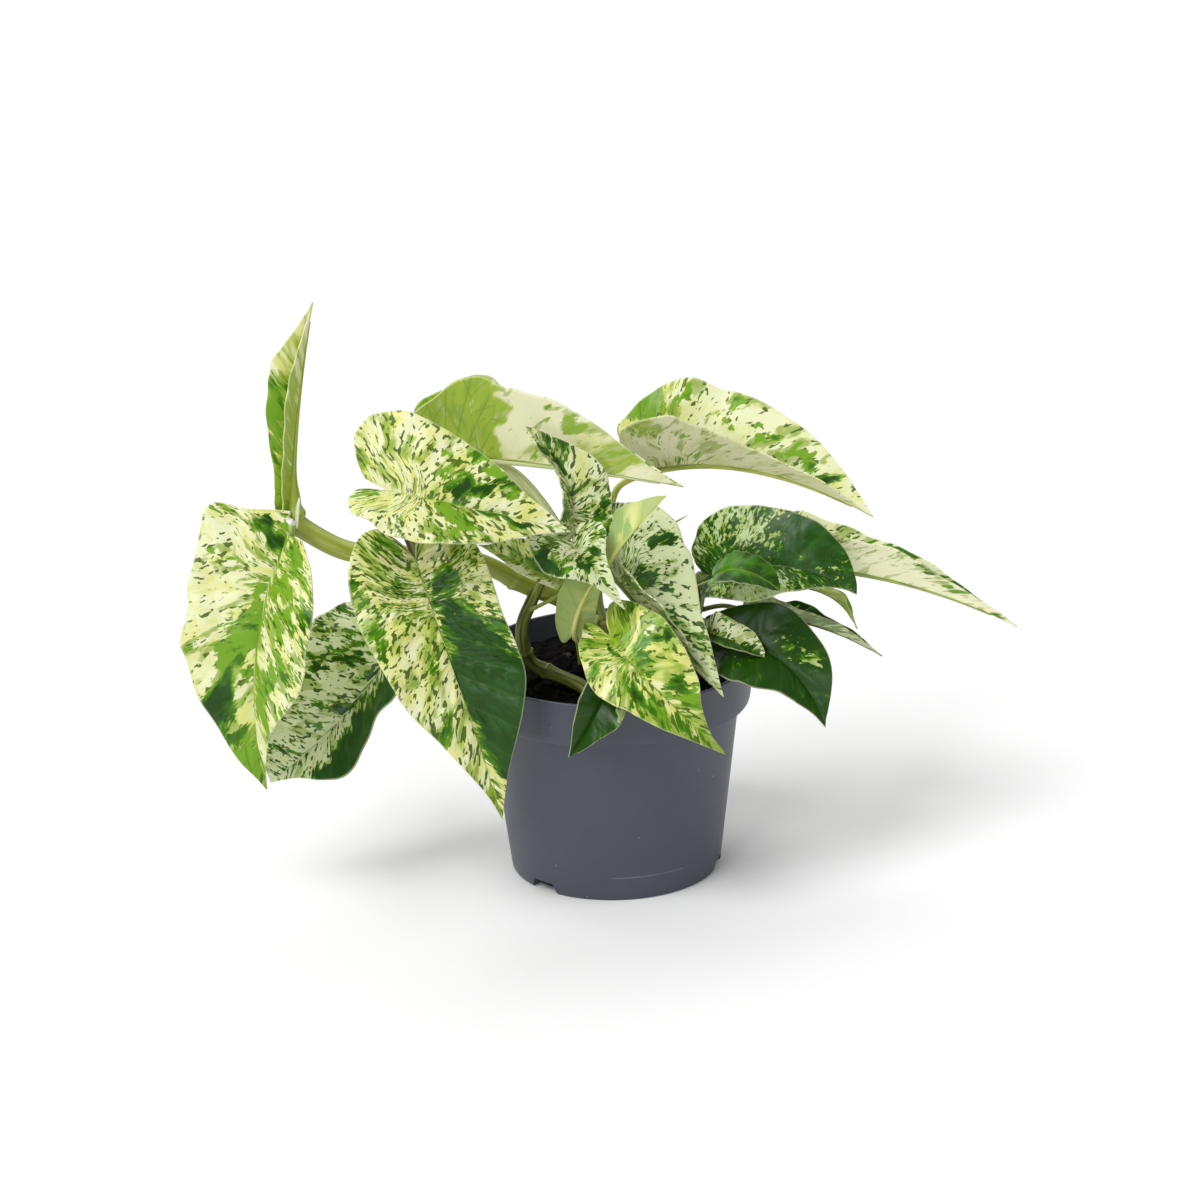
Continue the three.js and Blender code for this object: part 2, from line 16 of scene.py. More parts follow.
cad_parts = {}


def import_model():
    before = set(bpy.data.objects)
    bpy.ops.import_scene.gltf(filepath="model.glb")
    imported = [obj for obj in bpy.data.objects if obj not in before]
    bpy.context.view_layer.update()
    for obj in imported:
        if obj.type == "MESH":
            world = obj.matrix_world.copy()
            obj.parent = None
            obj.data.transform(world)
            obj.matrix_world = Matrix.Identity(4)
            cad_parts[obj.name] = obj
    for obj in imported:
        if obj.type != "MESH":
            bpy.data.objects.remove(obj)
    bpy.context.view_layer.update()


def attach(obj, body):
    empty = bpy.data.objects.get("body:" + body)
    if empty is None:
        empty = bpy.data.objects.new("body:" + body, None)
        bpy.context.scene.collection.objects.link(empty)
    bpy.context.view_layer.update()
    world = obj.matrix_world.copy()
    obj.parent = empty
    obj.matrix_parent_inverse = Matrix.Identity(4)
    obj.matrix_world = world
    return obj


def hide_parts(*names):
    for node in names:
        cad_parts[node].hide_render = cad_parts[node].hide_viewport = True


LOG = logging.getLogger("potted_pothos")
MM = 0.001
BODY = "root"

Point = tuple[float, float, float]
Pair = tuple[float, float]
Array = np.ndarray
Socket = bpy.types.NodeSocket
Material = bpy.types.Material
Object = bpy.types.Object

ROUND_TURN = 2 * np.pi
WELD_DISTANCE = 2e-6


# Colour and node helpers


def linear(hex_colour: str) -> tuple[float, float, float, float]:
    """Turns an sRGB hex colour to the linear colour that shaders take.

    Args:
        hex_colour: "#rrggbb".

    Returns:
        Red, green, blue and alpha in linear light.
    """
    values = [int(hex_colour[i:i + 2], 16) / 255 for i in (1, 3, 5)]
    curved = [v / 12.92 if v <= 0.04045 else ((v + 0.055) / 1.055) ** 2.4 for v in values]
    return (*curved, 1.0)


def add_node(tree: bpy.types.NodeTree, kind: str, settings: dict | None = None,
             inputs: dict | None = None) -> bpy.types.Node:
    """Adds a shader node with its settings and links.

    Args:
        tree: The material's node tree.
        kind: The node's type name without "ShaderNode".
        settings: Attributes to set on the node.
        inputs: For each input, by name or number, a value or the socket that feeds it.

    Returns:
        The new node.
    """
    node = tree.nodes.new("ShaderNode" + kind)
    for name, value in (settings or {}).items():
        setattr(node, name, value)
    for name, value in (inputs or {}).items():
        socket = node.inputs[name]
        if isinstance(value, Socket):
            tree.links.new(value, socket)
        else:
            socket.default_value = value
    return node


def new_material(name: str) -> tuple[Material, bpy.types.NodeTree, bpy.types.Node]:
    """Makes an empty material.

    Args:
        name: The finish's plain name.

    Returns:
        The material, its tree and its Principled shader.
    """
    material = bpy.data.materials.new(name)
    material.use_nodes = True
    tree = material.node_tree
    tree.nodes.clear()
    shader = add_node(tree, "BsdfPrincipled")
    output = add_node(tree, "OutputMaterial")
    tree.links.new(shader.outputs[0], output.inputs[0])
    return material, tree, shader


# Curves and grids


def spline(points: Array, at: Array, power: float) -> Array:
    """Points of a Catmull-Rom curve through given points.

    Args:
        points: The points that the curve passes through, one a row.
        at: Places from 0 to 1, evenly spread over the stretches between the points.
        power: 0 for a uniform curve, 0.5 for a centripetal one.

    Returns:
        One point a row for each place.
    """
    rows = np.vstack([2 * points[0] - points[1], points, 2 * points[-1] - points[-2]])
    place = np.clip(at, 0, 1) * (len(points) - 1)
    first = np.minimum(place.astype(int), len(points) - 2)
    w = (place - first)[:, None]
    p = [rows[first + k] for k in range(4)]
    d = [np.linalg.norm(p[k + 1] - p[k], axis=1)[:, None] ** power for k in range(3)]
    m1 = ((p[1] - p[0]) / d[0] - (p[2] - p[0]) / (d[0] + d[1]) + (p[2] - p[1]) / d[1]) * d[1]
    m2 = ((p[2] - p[1]) / d[1] - (p[3] - p[1]) / (d[1] + d[2]) + (p[3] - p[2]) / d[2]) * d[1]
    c2 = 3 * (p[2] - p[1]) - 2 * m1 - m2
    c3 = 2 * (p[1] - p[2]) + m1 + m2
    return p[1] + w * (m1 + w * (c2 + w * c3))


def even_path(points: Array, count: int) -> Array:
    """Evenly spaced points on the smooth curve through given points.

    Args:
        points: The points of the middle line, one a row.
        count: How many points to return.

    Returns:
        The points, one a row.
    """
    fine = spline(points, np.linspace(0, 1, 40 * len(points)), 0.5)
    run = np.concatenate([[0], np.cumsum(np.linalg.norm(np.diff(fine, axis=0), axis=1))])
    at = np.linspace(0, run[-1], count)
    return np.stack([np.interp(at, run, fine[:, k]) for k in range(3)], axis=1)


def unit(rows: Array) -> Array:
    """Each row of an array at length 1."""
    return rows / np.linalg.norm(rows, axis=-1, keepdims=True)


def stacked(*values: Array | float) -> Array:
    """Values of one shape, or stretched to it, side by side in a new last axis."""
    return np.stack(np.broadcast_arrays(*values), axis=-1)


def smooth(low: float, high: float, value: Array) -> Array:
    """A soft step from 0 at low to 1 at high."""
    t = np.clip((value - low) / (high - low), 0, 1)
    return t * t * (3 - 2 * t)


@dataclass
class Grid:
    """A grid primitive whose points are laid on a surface.

    Attributes:
        name: The piece's name.
        places: Points in millimetres, rows by columns by 3.
        maps: UV maps by name, rows by columns by 2.
        marks: Four values a point, or None.
    """

    name: str
    places: Array
    maps: dict[str, Array] = field(default_factory=dict)
    marks: Array | None = None

    def build(self, closed: bool) -> Object:
        """Adds the grid, lays it on its surface and joins the points that lie together.

        Args:
            closed: True where the last column closes on the first and faces must look outwards.

        Returns:
            The finished mesh object, at the origin.
        """
        rows, columns = self.places.shape[:2]
        if closed:
            self.places[:, -1] = self.places[:, 0]
        bpy.ops.object.select_all(action="DESELECT")
        bpy.ops.mesh.primitive_grid_add(x_subdivisions=columns - 1, y_subdivisions=rows - 1, size=1)
        piece = bpy.context.object
        piece.name = piece.data.name = self.name
        mesh = piece.data
        count = len(mesh.vertices)
        flat = np.empty(count * 3)
        mesh.vertices.foreach_get("co", flat)
        flat = flat.reshape(-1, 3) + 0.5
        column = np.rint(flat[:, 0] * (columns - 1)).astype(int)
        row = np.rint(flat[:, 1] * (rows - 1)).astype(int)
        mesh.vertices.foreach_set("co", (self.places[row, column] * MM).ravel())
        corner = np.empty(len(mesh.loops), dtype=int)
        mesh.loops.foreach_get("vertex_index", corner)
        while mesh.uv_layers:
            mesh.uv_layers.remove(mesh.uv_layers[0])
        for name, values in self.maps.items():
            layer = mesh.uv_layers.new(name=name)
            layer.uv.foreach_set("vector", values[row[corner], column[corner]].ravel())
        if self.marks is not None:
            layer = mesh.attributes.new("marks", "FLOAT_COLOR", "POINT")
            layer.data.foreach_set("color", self.marks[row, column].ravel())
        mesh.update()
        bpy.ops.object.mode_set(mode="EDIT")
        bpy.ops.mesh.select_all(action="SELECT")
        bpy.ops.mesh.remove_doubles(threshold=WELD_DISTANCE)
        if closed:
            bpy.ops.mesh.normals_make_consistent(inside=False)
        bpy.ops.object.mode_set(mode="OBJECT")
        bpy.ops.object.shade_smooth()
        return piece


def finish_piece(piece: Object, skin: Material | None, slot: str, *nodes: str) -> Object:
    """Dresses a piece and makes it move with the part.

    Args:
        piece: The shaped object.
        skin: Its material, or None where it has its materials already.
        slot: The record's material slot, which is not used.
        nodes: The solids that it stands for.

    Returns:
        The same object.
    """
    if skin:
        piece.data.materials.append(skin)
    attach(piece, BODY)
    if nodes:
        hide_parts(*nodes)
    LOG.info("%s: %d faces", piece.name, len(piece.data.polygons))
    return piece


def apply_modifier(piece: Object, kind: str, settings: dict) -> None:
    """Adds a modifier to a piece and applies it.

    Args:
        piece: The object to change.
        kind: The modifier's type.
        settings: Attributes to set on it.
    """
    bpy.ops.object.select_all(action="DESELECT")
    bpy.context.view_layer.objects.active = piece
    piece.select_set(True)
    bpy.ops.object.modifier_add(type=kind)
    modifier = piece.modifiers[-1]
    for name, value in settings.items():
        setattr(modifier, name, value)
    bpy.ops.object.modifier_apply(modifier=modifier.name)


# Finishes


@dataclass(frozen=True)
class MouldedPolypropylene:
    """Injection-moulded recycled polypropylene, slate grey: an even satin skin with faint flow
    clouds, a fine grain, a few specks of dust and a thin level scuff low on the front."""

    base: str = "#3b3f4c"
    cloud: str = "#484c59"
    dust: str = "#b9bcc2"
    roughness: float = 0.42
    cloud_mm: float = 30.0
    grain_mm: float = 0.5
    speck_mm: float = 3.2
    dust_share: float = 0.025
    scuff_strength: float = 0.28
    scuff_height: float = 10.8
    scuff_middle: float = 13.0
    scuff_reach: float = 15.0
    scuff_width: float = 0.4

    def material(self) -> Material:
        """The pot's plastic."""
        material, tree, shader = new_material("moulded_polypropylene")
        place = add_node(tree, "TexCoord").outputs["Object"]
        cloud = add_node(tree, "TexNoise", None, {
            "Vector": place, "Scale": 1 / (self.cloud_mm * MM), "Detail": 4.0, "Roughness": 0.6})
        colour = add_node(tree, "Mix", {"data_type": "RGBA"}, {
            0: cloud.outputs[0], 6: linear(self.base), 7: linear(self.cloud)})
        speck = add_node(tree, "TexVoronoi", None, {
            "Vector": place, "Scale": 1 / (self.speck_mm * MM), "Randomness": 1.0})
        chosen = add_node(tree, "SeparateColor", None, {0: speck.outputs["Color"]})
        rare = add_node(tree, "Math", {"operation": "GREATER_THAN"}, {
            0: chosen.outputs[0], 1: 1 - self.dust_share})
        dot = add_node(tree, "MapRange", {"clamp": True}, {
            "Value": speck.outputs["Distance"], "From Min": 0.03, "From Max": 0.12,
            "To Min": 0.8, "To Max": 0.0})
        dust = add_node(tree, "Math", {"operation": "MULTIPLY"}, {
            0: rare.outputs[0], 1: dot.outputs[0]})
        axes = add_node(tree, "SeparateXYZ", None, {0: place})
        level = add_node(tree, "Math", {"operation": "COMPARE"}, {
            0: axes.outputs[2], 1: self.scuff_height * MM, 2: self.scuff_width / 2 * MM})
        beside = add_node(tree, "Math", {"operation": "COMPARE"}, {
            0: axes.outputs[0], 1: self.scuff_middle * MM, 2: self.scuff_reach * MM})
        front = add_node(tree, "Math", {"operation": "LESS_THAN"}, {0: axes.outputs[1], 1: 0.0})
        scuff = add_node(tree, "Math", {"operation": "MULTIPLY"}, {
            0: level.outputs[0], 1: beside.outputs[0]})
        faint = add_node(tree, "MapRange", {"clamp": True}, {
            "Value": cloud.outputs[0], "From Min": 0.35, "From Max": 0.65,
            "To Max": self.scuff_strength})
        worn = add_node(tree, "Math", {"operation": "MULTIPLY"}, {
            0: scuff.outputs[0], 1: faint.outputs[0]})
        mark = add_node(tree, "Math", {"operation": "MULTIPLY_ADD"}, {
            0: worn.outputs[0], 1: front.outputs[0], 2: dust.outputs[0]})
        dusty = add_node(tree, "Mix", {"data_type": "RGBA"}, {
            0: mark.outputs[0], 6: colour.outputs[2], 7: linear(self.dust)})
        grain = add_node(tree, "TexNoise", None, {
            "Vector": place, "Scale": 1 / (self.grain_mm * MM), "Detail": 2.0})
        bump = add_node(tree, "Bump", None, {
            "Strength": 0.12, "Distance": 0.0002, "Height": grain.outputs[0]})
        rough = add_node(tree, "MapRange", None, {
            "Value": cloud.outputs[0], "To Min": self.roughness - 0.06,
            "To Max": self.roughness + 0.08})
        tree.links.new(dusty.outputs[2], shader.inputs["Base Color"])
        tree.links.new(rough.outputs[0], shader.inputs["Roughness"])
        tree.links.new(bump.outputs[0], shader.inputs["Normal"])
        shader.inputs["IOR"].default_value = 1.49
        return material


@dataclass(frozen=True)
class PottingMix:
    """Peat and composted bark, watered: nearly black and matt, darker in the hollows of its crumbly bump
    as painted shade, and with a few browner and greyer bits."""

    # The darkest tone, which the hollows take as painted shade
    dark: str = "#040302"
    brown: str = "#0c0906"
    grey: str = "#4d463c"
    crumb_mm: float = 2.2

    def material(self) -> Material:
        """The potting mix and its crumbs."""
        material, tree, shader = new_material("peat_and_bark_mix")
        place = add_node(tree, "TexCoord").outputs["Object"]
        crumb = add_node(tree, "TexNoise", None, {
            "Vector": place, "Scale": 1 / (self.crumb_mm * MM), "Detail": 5.0, "Roughness": 0.7})
        # Painted shade: the noise that raises the bump also darkens the mix in its hollows
        spread = add_node(tree, "MapRange", {"clamp": True}, {
            "Value": crumb.outputs[0], "From Min": 0.38, "From Max": 0.75})
        earth_and_hollow_shade = add_node(tree, "Mix", {"data_type": "RGBA"}, {
            0: spread.outputs[0], 6: linear(self.dark), 7: linear(self.brown)})
        tint = add_node(tree, "Attribute", {"attribute_name": "tint"})
        colour = add_node(tree, "Mix", {"data_type": "RGBA"}, {
            0: tint.outputs["Fac"], 6: earth_and_hollow_shade.outputs[2], 7: linear(self.grey)})
        bump = add_node(tree, "Bump", None, {
            "Strength": 0.7, "Distance": 0.0006, "Height": crumb.outputs[0]})
        tree.links.new(colour.outputs[2], shader.inputs["Base Color"])
        tree.links.new(bump.outputs[0], shader.inputs["Normal"])
        shader.inputs["Roughness"].default_value = 0.9
        shader.inputs["Specular IOR Level"].default_value = 0.12
        return material


@dataclass(frozen=True)
class StemSkin:
    """The living skin of a stem or leaf stalk: waxy satin green with long pale streaks that run
    with it, and fine pores."""

    name: str
    base: str
    streak: str
    shade: str
    roughness: float = 0.42
    streak_mm: float = 2.6
    pores_per_mm: float = 2.2

    def material(self) -> Material:
        """The skin, whose streaks follow the piece's own map."""
        found = bpy.data.materials.get(self.name)
        if found:
            return found
        material, tree, shader = new_material(self.name)
        skin = add_node(tree, "UVMap", {"uv_map": "skin"})
        long_way = add_node(tree, "Mapping", None, {
            "Vector": skin.outputs[0], "Scale": (1.0, 0.09, 1.0)})
        streak = add_node(tree, "TexNoise", {"noise_dimensions": "2D"}, {
            "Vector": long_way.outputs[0], "Scale": 10 / self.streak_mm, "Detail": 3.0,
            "Roughness": 0.6})
        pale = add_node(tree, "MapRange", {"clamp": True, "interpolation_type": "SMOOTHSTEP"}, {
            "Value": streak.outputs[0], "From Min": 0.46, "From Max": 0.6})
        dull = add_node(tree, "MapRange", {"clamp": True, "interpolation_type": "SMOOTHSTEP"}, {
            "Value": streak.outputs[0], "From Min": 0.46, "From Max": 0.32})
        first = add_node(tree, "Mix", {"data_type": "RGBA"}, {
            0: pale.outputs[0], 6: linear(self.base), 7: linear(self.streak)})
        second = add_node(tree, "Mix", {"data_type": "RGBA"}, {
            0: dull.outputs[0], 6: first.outputs[2], 7: linear(self.shade)})
        tree.links.new(second.outputs[2], shader.inputs["Base Color"])
        place = add_node(tree, "TexCoord").outputs["Object"]
        pores = add_node(tree, "TexNoise", None, {
            "Vector": place, "Scale": self.pores_per_mm / MM, "Detail": 2.0})
        bump = add_node(tree, "Bump", None, {
            "Strength": 0.25, "Distance": 0.0002, "Height": pores.outputs[0]})
        tree.links.new(bump.outputs[0], shader.inputs["Normal"])
        shader.inputs["Roughness"].default_value = self.roughness
        shader.inputs["IOR"].default_value = 1.42
        return material


@dataclass(frozen=True)
class LeafSkin:
    """The waxy skin of a variegated leaf. Cells with leaf green lie in sectors, streaks and flecks
    that follow the side veins, with hard ragged edges, over a grey-green tone where only the lower
    layer is green, and over cream and yellow where none is. The upper side has a soft sheen and
    the underside is paler and duller."""

    name: str
    fade: float
    roughness: float
    cream: str = "#e6e9be"
    yellow: str = "#d8da80"
    dull_cream: str = "#adc088"
    lime: str = "#8fab22"
    light_green: str = "#74a224"
    mid_green: str = "#407406"
    dark_green: str = "#1f4506"
    blue_green: str = "#2d5a25"
    grey_green: str = "#98ac55"
    olive: str = "#49640d"
    under: str = "#d9dfb6"
    sector_mm: float = 10.0
    streak_mm: float = 2.4
    cloud_mm: float = 5.0
    fleck_mm: float = 1.9
    edge: float = 0.02
    speck: float = 0.95
    cells_per_mm: float = 0.9

    def material(self) -> Material:
        """The blade: pale tissue, green tissue over it, then its veins and margin."""
        material, tree, shader = new_material(self.name)
        paint = LeafPaint(tree, self)
        colour = self._pale_tissue(paint)
        colour = self._green_tissue(paint, colour)
        colour = self._veins(paint, colour)
        if self.fade:
            colour = paint.laid_over(self.fade, colour, self.under)
        place = add_node(tree, "TexCoord").outputs["Object"]
        cells = add_node(tree, "TexNoise", None, {
            "Vector": place, "Scale": self.cells_per_mm / MM, "Detail": 3.0, "Roughness": 0.6})
        bump = add_node(tree, "Bump", None, {
            "Strength": 0.3, "Distance": 0.0003, "Height": cells.outputs[0]})
        tree.links.new(colour, shader.inputs["Base Color"])
        tree.links.new(bump.outputs[0], shader.inputs["Normal"])
        shader.inputs["Roughness"].default_value = self.roughness
        shader.inputs["IOR"].default_value = 1.45
        shader.inputs["Specular IOR Level"].default_value = 0.27
        return material

    def _pale_tissue(self, paint: "LeafPaint") -> Socket:
        """Cream clouded with yellow, duller on the darkest leaves, lime where a little green is
        left, grey-green where one layer of cells is green, and small dark flecks."""
        warm = paint.blend((paint.tone, 1.0), (paint.lime_mark, 0.7))
        colour = paint.laid_over(paint.edge(warm, -0.18, 0.12), self.cream, self.yellow)
        dull = paint.edge(paint.dark_mark, 0.7, 1.0, 0.9)
        colour = paint.laid_over(dull, colour, self.dull_cream)
        tinge = paint.blend((paint.lime_mark, 1.0), (paint.cloud, 1.4), (paint.sector, 0.8))
        colour = paint.laid_over(paint.edge(tinge, -0.05, 0.25), colour, self.lime)
        veil = paint.blend((paint.cloud, 1.0), (paint.sector, 0.7), (paint.green_mark, 0.5))
        colour = paint.laid_over(paint.edge(veil, -0.04, 0.03, 0.75), colour, self.grey_green)
        speck = paint.blend((paint.fleck, 1.0), (paint.fleck_mark, 0.32), (paint.sector, 0.35),
                            (paint.green_mark, 0.2))
        dark = paint.laid_over(paint.edge(paint.dark_mark, 0.4, 0.9), self.olive, self.dark_green)
        return paint.laid_over(paint.edge(speck, 0.11, 0.12 + self.edge, self.speck), colour, dark)

    def _green_tissue(self, paint: "LeafPaint", colour: Socket) -> Socket:
        """Green laid over the pale tissue: yellower at its edges, deeper inside, and bluer there on
        leaves with flecks."""
        depth = paint.blend((paint.tone, 1.3), (paint.dark_mark, 0.7), (paint.level, 0.5))
        cool = paint.edge(paint.blend((paint.cloud, 1.2), (paint.dark_mark, 0.35)), 0.1, 0.3, 0.5)
        inside = paint.both(paint.edge(paint.level, 0.05, 0.3), paint.edge(paint.fleck_mark, 0.3, 0.4))
        green = paint.laid_over(paint.edge(depth, -0.3, -0.15), self.light_green, self.mid_green)
        green = paint.laid_over(paint.edge(depth, -0.08, 0.12), green, self.dark_green)
        green = paint.laid_over(paint.both(cool, inside), green, self.blue_green)
        green = paint.laid_over(paint.edge(paint.level, 0.07, 0.02, 0.5), green, self.light_green)
        colour = paint.laid_over(paint.edge(paint.level, -0.05, 0.0, 0.4), colour, self.lime)
        return paint.laid_over(paint.edge(paint.level, 0.0, self.edge), colour, green)

    def _veins(self, paint: "LeafPaint", colour: Socket) -> Socket:
        """Side veins and their net, the midrib's pale line and the thin clear margin."""
        tree = paint.tree
        wave = add_node(tree, "Math", {"operation": "PINGPONG"}, {
            0: paint.map_axes("ribs")[0], 1: 0.5})
        vein = paint.edge(wave.outputs[0], 0.07, 0.0, 0.7)
        meshes = add_node(tree, "Mapping", None, {"Vector": paint.veins, "Scale": (0.9, 0.55, 1.0)})
        net = add_node(tree, "TexVoronoi", {
            "voronoi_dimensions": "2D", "feature": "DISTANCE_TO_EDGE"}, {
                "Vector": meshes.outputs[0], "Scale": 1.0})
        lit_through_vein_net = add_node(tree, "Math", {"operation": "MAXIMUM"}, {
            0: vein, 1: paint.edge(net.outputs["Distance"], 0.035, 0.0, 0.6)}).outputs[0]
        limy = paint.edge(paint.lime_mark, 0.8, 1.0)
        shading = paint.edge(paint.blend((paint.tone, 1.0), (paint.cloud, 0.5)), 0.0, 0.2, 0.45)
        colour = paint.laid_over(paint.both(limy, shading), colour, self.mid_green)
        # Painted light: on lime tissue the veins and their net are darker green, as veins look with light
        # coming through the blade
        colour = paint.laid_over(paint.both(lit_through_vein_net, limy), colour, self.mid_green)
        on_green = paint.edge(paint.level, 0.1, 0.3, 0.12)
        colour = paint.laid_over(paint.both(vein, on_green), colour, self.light_green)
        reach = paint.map_axes("blade")
        rib = paint.both(paint.edge(reach[1], 0.55, 0.25), paint.edge(paint.dark_mark, 0.9, 0.3, 0.5))
        colour = paint.laid_over(rib, colour, self.lime)
        return paint.laid_over(paint.edge(reach[0], 0.975, 0.99, 0.35), colour, self.cream)


class LeafPaint:
    """The patterns of a leaf's skin and the ways in which they are combined.

    Attributes:
        tree: The skin's node tree.
        veins: The blade's vein map, whose V runs along the side veins.
        green_mark: How green a place is, about 0.5. The other marks are lime, dark and fleck.
        level: How far into the green a place is, 0 at its edge. The other patterns are sectors,
            streaks, clouds and flecks, by their size, and the tone of a colour.
    """

    def __init__(self, tree: bpy.types.NodeTree, skin: LeafSkin) -> None:
        """Reads the blade's maps and marks and lays the patterns.

        Args:
            tree: The skin's node tree.
            skin: The skin, for the sizes of its patterns.
        """
        self.tree = tree
        self.veins = add_node(tree, "UVMap", {"uv_map": "veins"}).outputs[0]
        marks = add_node(tree, "Attribute", {"attribute_name": "marks"})
        part = add_node(tree, "SeparateColor", None, {0: marks.outputs["Color"]})
        self.green_mark, self.lime_mark, self.dark_mark = part.outputs[:3]
        self.fleck_mark = marks.outputs["Alpha"]
        self.sector = self.along_veins(skin.sector_mm, 2.2, 0.0, 3.0, 0.55)
        self.streak = self.along_veins(skin.streak_mm, 2.5, 7.3, 3.0, 0.6)
        self.cloud = self.along_veins(skin.cloud_mm, 2.0, 3.9, 2.5, 0.5)
        self.fleck = self.along_veins(skin.fleck_mm, 1.8, 5.1, 1.5, 0.5)
        self.tone = self.along_veins(skin.sector_mm * 0.7, 1.8, 9.7, 3.0, 0.6)
        self.level = self.blend((self.sector, 0.8), (self.streak, 1.1), (self.green_mark, 0.75))

    def map_axes(self, name: str) -> bpy.types.NodeOutputs:
        """The axes of one of the blade's maps."""
        found = add_node(self.tree, "UVMap", {"uv_map": name}).outputs[0]
        return add_node(self.tree, "SeparateXYZ", None, {0: found}).outputs

    def along_veins(self, size_mm: float, stretch: float, shift: float, detail: float,
                    rough: float) -> Socket:
        """Features that are drawn out along the side veins.

        Args:
            size_mm: Their size across the veins.
            stretch: How many times longer they are along them.
            shift: Where the pattern is taken from.
            detail: Octaves of finer features.
            rough: How strong the finer ones are.

        Returns:
            A value about 0.5.
        """
        laid = add_node(self.tree, "Mapping", None, {
            "Vector": self.veins, "Location": (shift, shift * 0.61, 0.0),
            "Scale": (10 / size_mm, 10 / size_mm / stretch, 1.0)})
        return add_node(self.tree, "TexNoise", {"noise_dimensions": "2D"}, {
            "Vector": laid.outputs[0], "Scale": 1.0, "Detail": detail, "Roughness": rough,
            "Distortion": 0.25}).outputs[0]

    def edge(self, value: Socket, low: float, high: float, top: float = 1.0) -> Socket:
        """An edge in a pattern, from 0 at low to the top value at high."""
        return add_node(self.tree, "MapRange", {"clamp": True}, {
            "Value": value, "From Min": low, "From Max": high, "To Max": top}).outputs[0]

    def blend(self, *terms: tuple[Socket, float]) -> Socket:
        """The sum of patterns and marks about their middle value, each by its weight."""
        whole = None
        for value, weight in terms:
            centred = add_node(self.tree, "MapRange", {"clamp": False}, {
                "Value": value, "To Min": -weight / 2, "To Max": weight / 2}).outputs[0]
            whole = centred if whole is None else add_node(self.tree, "Math", None, {
                0: whole, 1: centred}).outputs[0]
        return whole

    def both(self, one: Socket, other: Socket) -> Socket:
        """How far two amounts hold at once."""
        return add_node(self.tree, "Math", {"operation": "MULTIPLY"}, {0: one, 1: other}).outputs[0]

    def laid_over(self, amount: Socket | float, under: Socket | str, over: Socket | str) -> Socket:
        """One colour laid over another, each a socket or a hex colour."""
        colours = [linear(c) if isinstance(c, str) else c for c in (under, over)]
        return add_node(self.tree, "Mix", {"data_type": "RGBA"}, {
            0: amount, 6: colours[0], 7: colours[1]}).outputs[2]


UPPER_SKIN = LeafSkin("waxy_upper_leaf_skin", fade=0.0, roughness=0.28)
UNDER_SKIN = LeafSkin("dull_under_leaf_skin", fade=0.3, roughness=0.55)
# Painted light: thin blades take brighter colours below, which stand in for light coming through them
BACKLIT_SKIN = LeafSkin("backlit_under_leaf_skin", fade=0.04, roughness=0.5, cream="#f4f3cc",
                     yellow="#dfe3a0", dull_cream="#ced8ac", lime="#a3bc3a",
                     light_green="#92b63c", mid_green="#6b9a26", dark_green="#47701c",
                     blue_green="#557c3a", grey_green="#b8c47c", olive="#8a9c3e",
                     edge=0.07, speck=0.6)


class StalkTone(Enum):
    """The colours that the stalks of this plant have."""

    PALE = StemSkin("pale_green_stalk_skin", "#c6cd90", "#dde0b0", "#a6b56a")
    YELLOW = StemSkin("yellow_green_stalk_skin", "#bfc45c", "#d6d682", "#97a245")
    LIME = StemSkin("lime_stalk_skin", "#96a838", "#a8b656", "#879b2c", streak_mm=5.0)
    GREEN = StemSkin("green_stalk_skin", "#93a552", "#b4c07a", "#6f8439")
    OLIVE = StemSkin("olive_stalk_skin", "#77803c", "#98a055", "#4e5a2a")
    BROWN = StemSkin("brown_green_stalk_skin", "#6a6344", "#8c8a58", "#4a4033")


# The leaf


# Outlines of half a blade, in per cent: the place across in half widths, the place along in lengths
# and the place on the midrib where the side vein to that point begins. HEART and EGG are the plant's
# common shapes, and the rest are halves of single leaves
HEART = (
    (10, -7, 0), (38, -11, 0), (72, -9, 0.5), (95, 4, 3), (100, 20, 9), (92, 40, 25), (70, 61, 46),
    (36, 79, 68), (10, 91, 86), (0, 100, 100))
EGG = (
    (26, 0, 0), (54, 6, 1), (79, 16, 5), (95, 27, 13), (100, 39, 23), (91, 51, 35), (64, 62, 48),
    (32, 74, 63), (12, 87, 80), (0, 100, 100))
DRAPED = (
    (11, -16, 0), (36, -11, 0), (62, -5, 0), (90, -2, 0.5), (106, 2, 2), (104, 8, 5), (102, 19, 11),
    (103, 28, 17), (93, 33, 22), (95, 43, 30), (90, 48, 35), (72, 60, 47), (50, 72, 60), (27, 86, 77),
    (10, 94, 88), (0, 100, 100))
UPRIGHT_LEFT = (
    (38, -7, 0), (42, -2, 0), (46, 5, 2), (50, 13, 6), (66, 27, 15), (80, 41, 27), (90, 54, 39),
    (95, 63, 49), (88, 70, 57), (62, 77, 66), (34, 87, 80), (12, 95, 93), (0, 100, 100))
UPRIGHT_RIGHT = (
    (40, -8, 0), (50, -3, 0), (60, 5, 2), (72, 14, 6), (88, 28, 17), (97, 42, 31), (98, 57, 46),
    (80, 70, 60), (42, 81, 73), (15, 91, 87), (0, 100, 100))
BEHIND_LEFT = (
    (20, 0, 0), (50, 3, 1), (72, 12, 5), (80, 28, 16), (72, 41, 27), (77, 55, 40), (82, 69, 56),
    (61, 78, 67), (26, 87, 80), (8, 95, 93), (0, 100, 100))
BEHIND_RIGHT = (
    (30, -1, 0), (67, 3, 1), (89, 10, 4), (101, 23, 12), (95, 37, 24), (76, 52, 40), (62, 65, 52),
    (70, 78, 66), (58, 86, 79), (38, 93, 89), (15, 98, 97), (0, 100, 100))
FRONT_LEFT_LEFT = (
    (12, -9, 0), (45, -12, 0), (72, -6, 1), (85, 5, 3), (87, 15, 8), (86, 27, 15), (90, 38, 24),
    (89, 47, 32), (76, 57, 42), (54, 69, 56), (29, 81, 72), (12, 91, 86), (0, 100, 100))
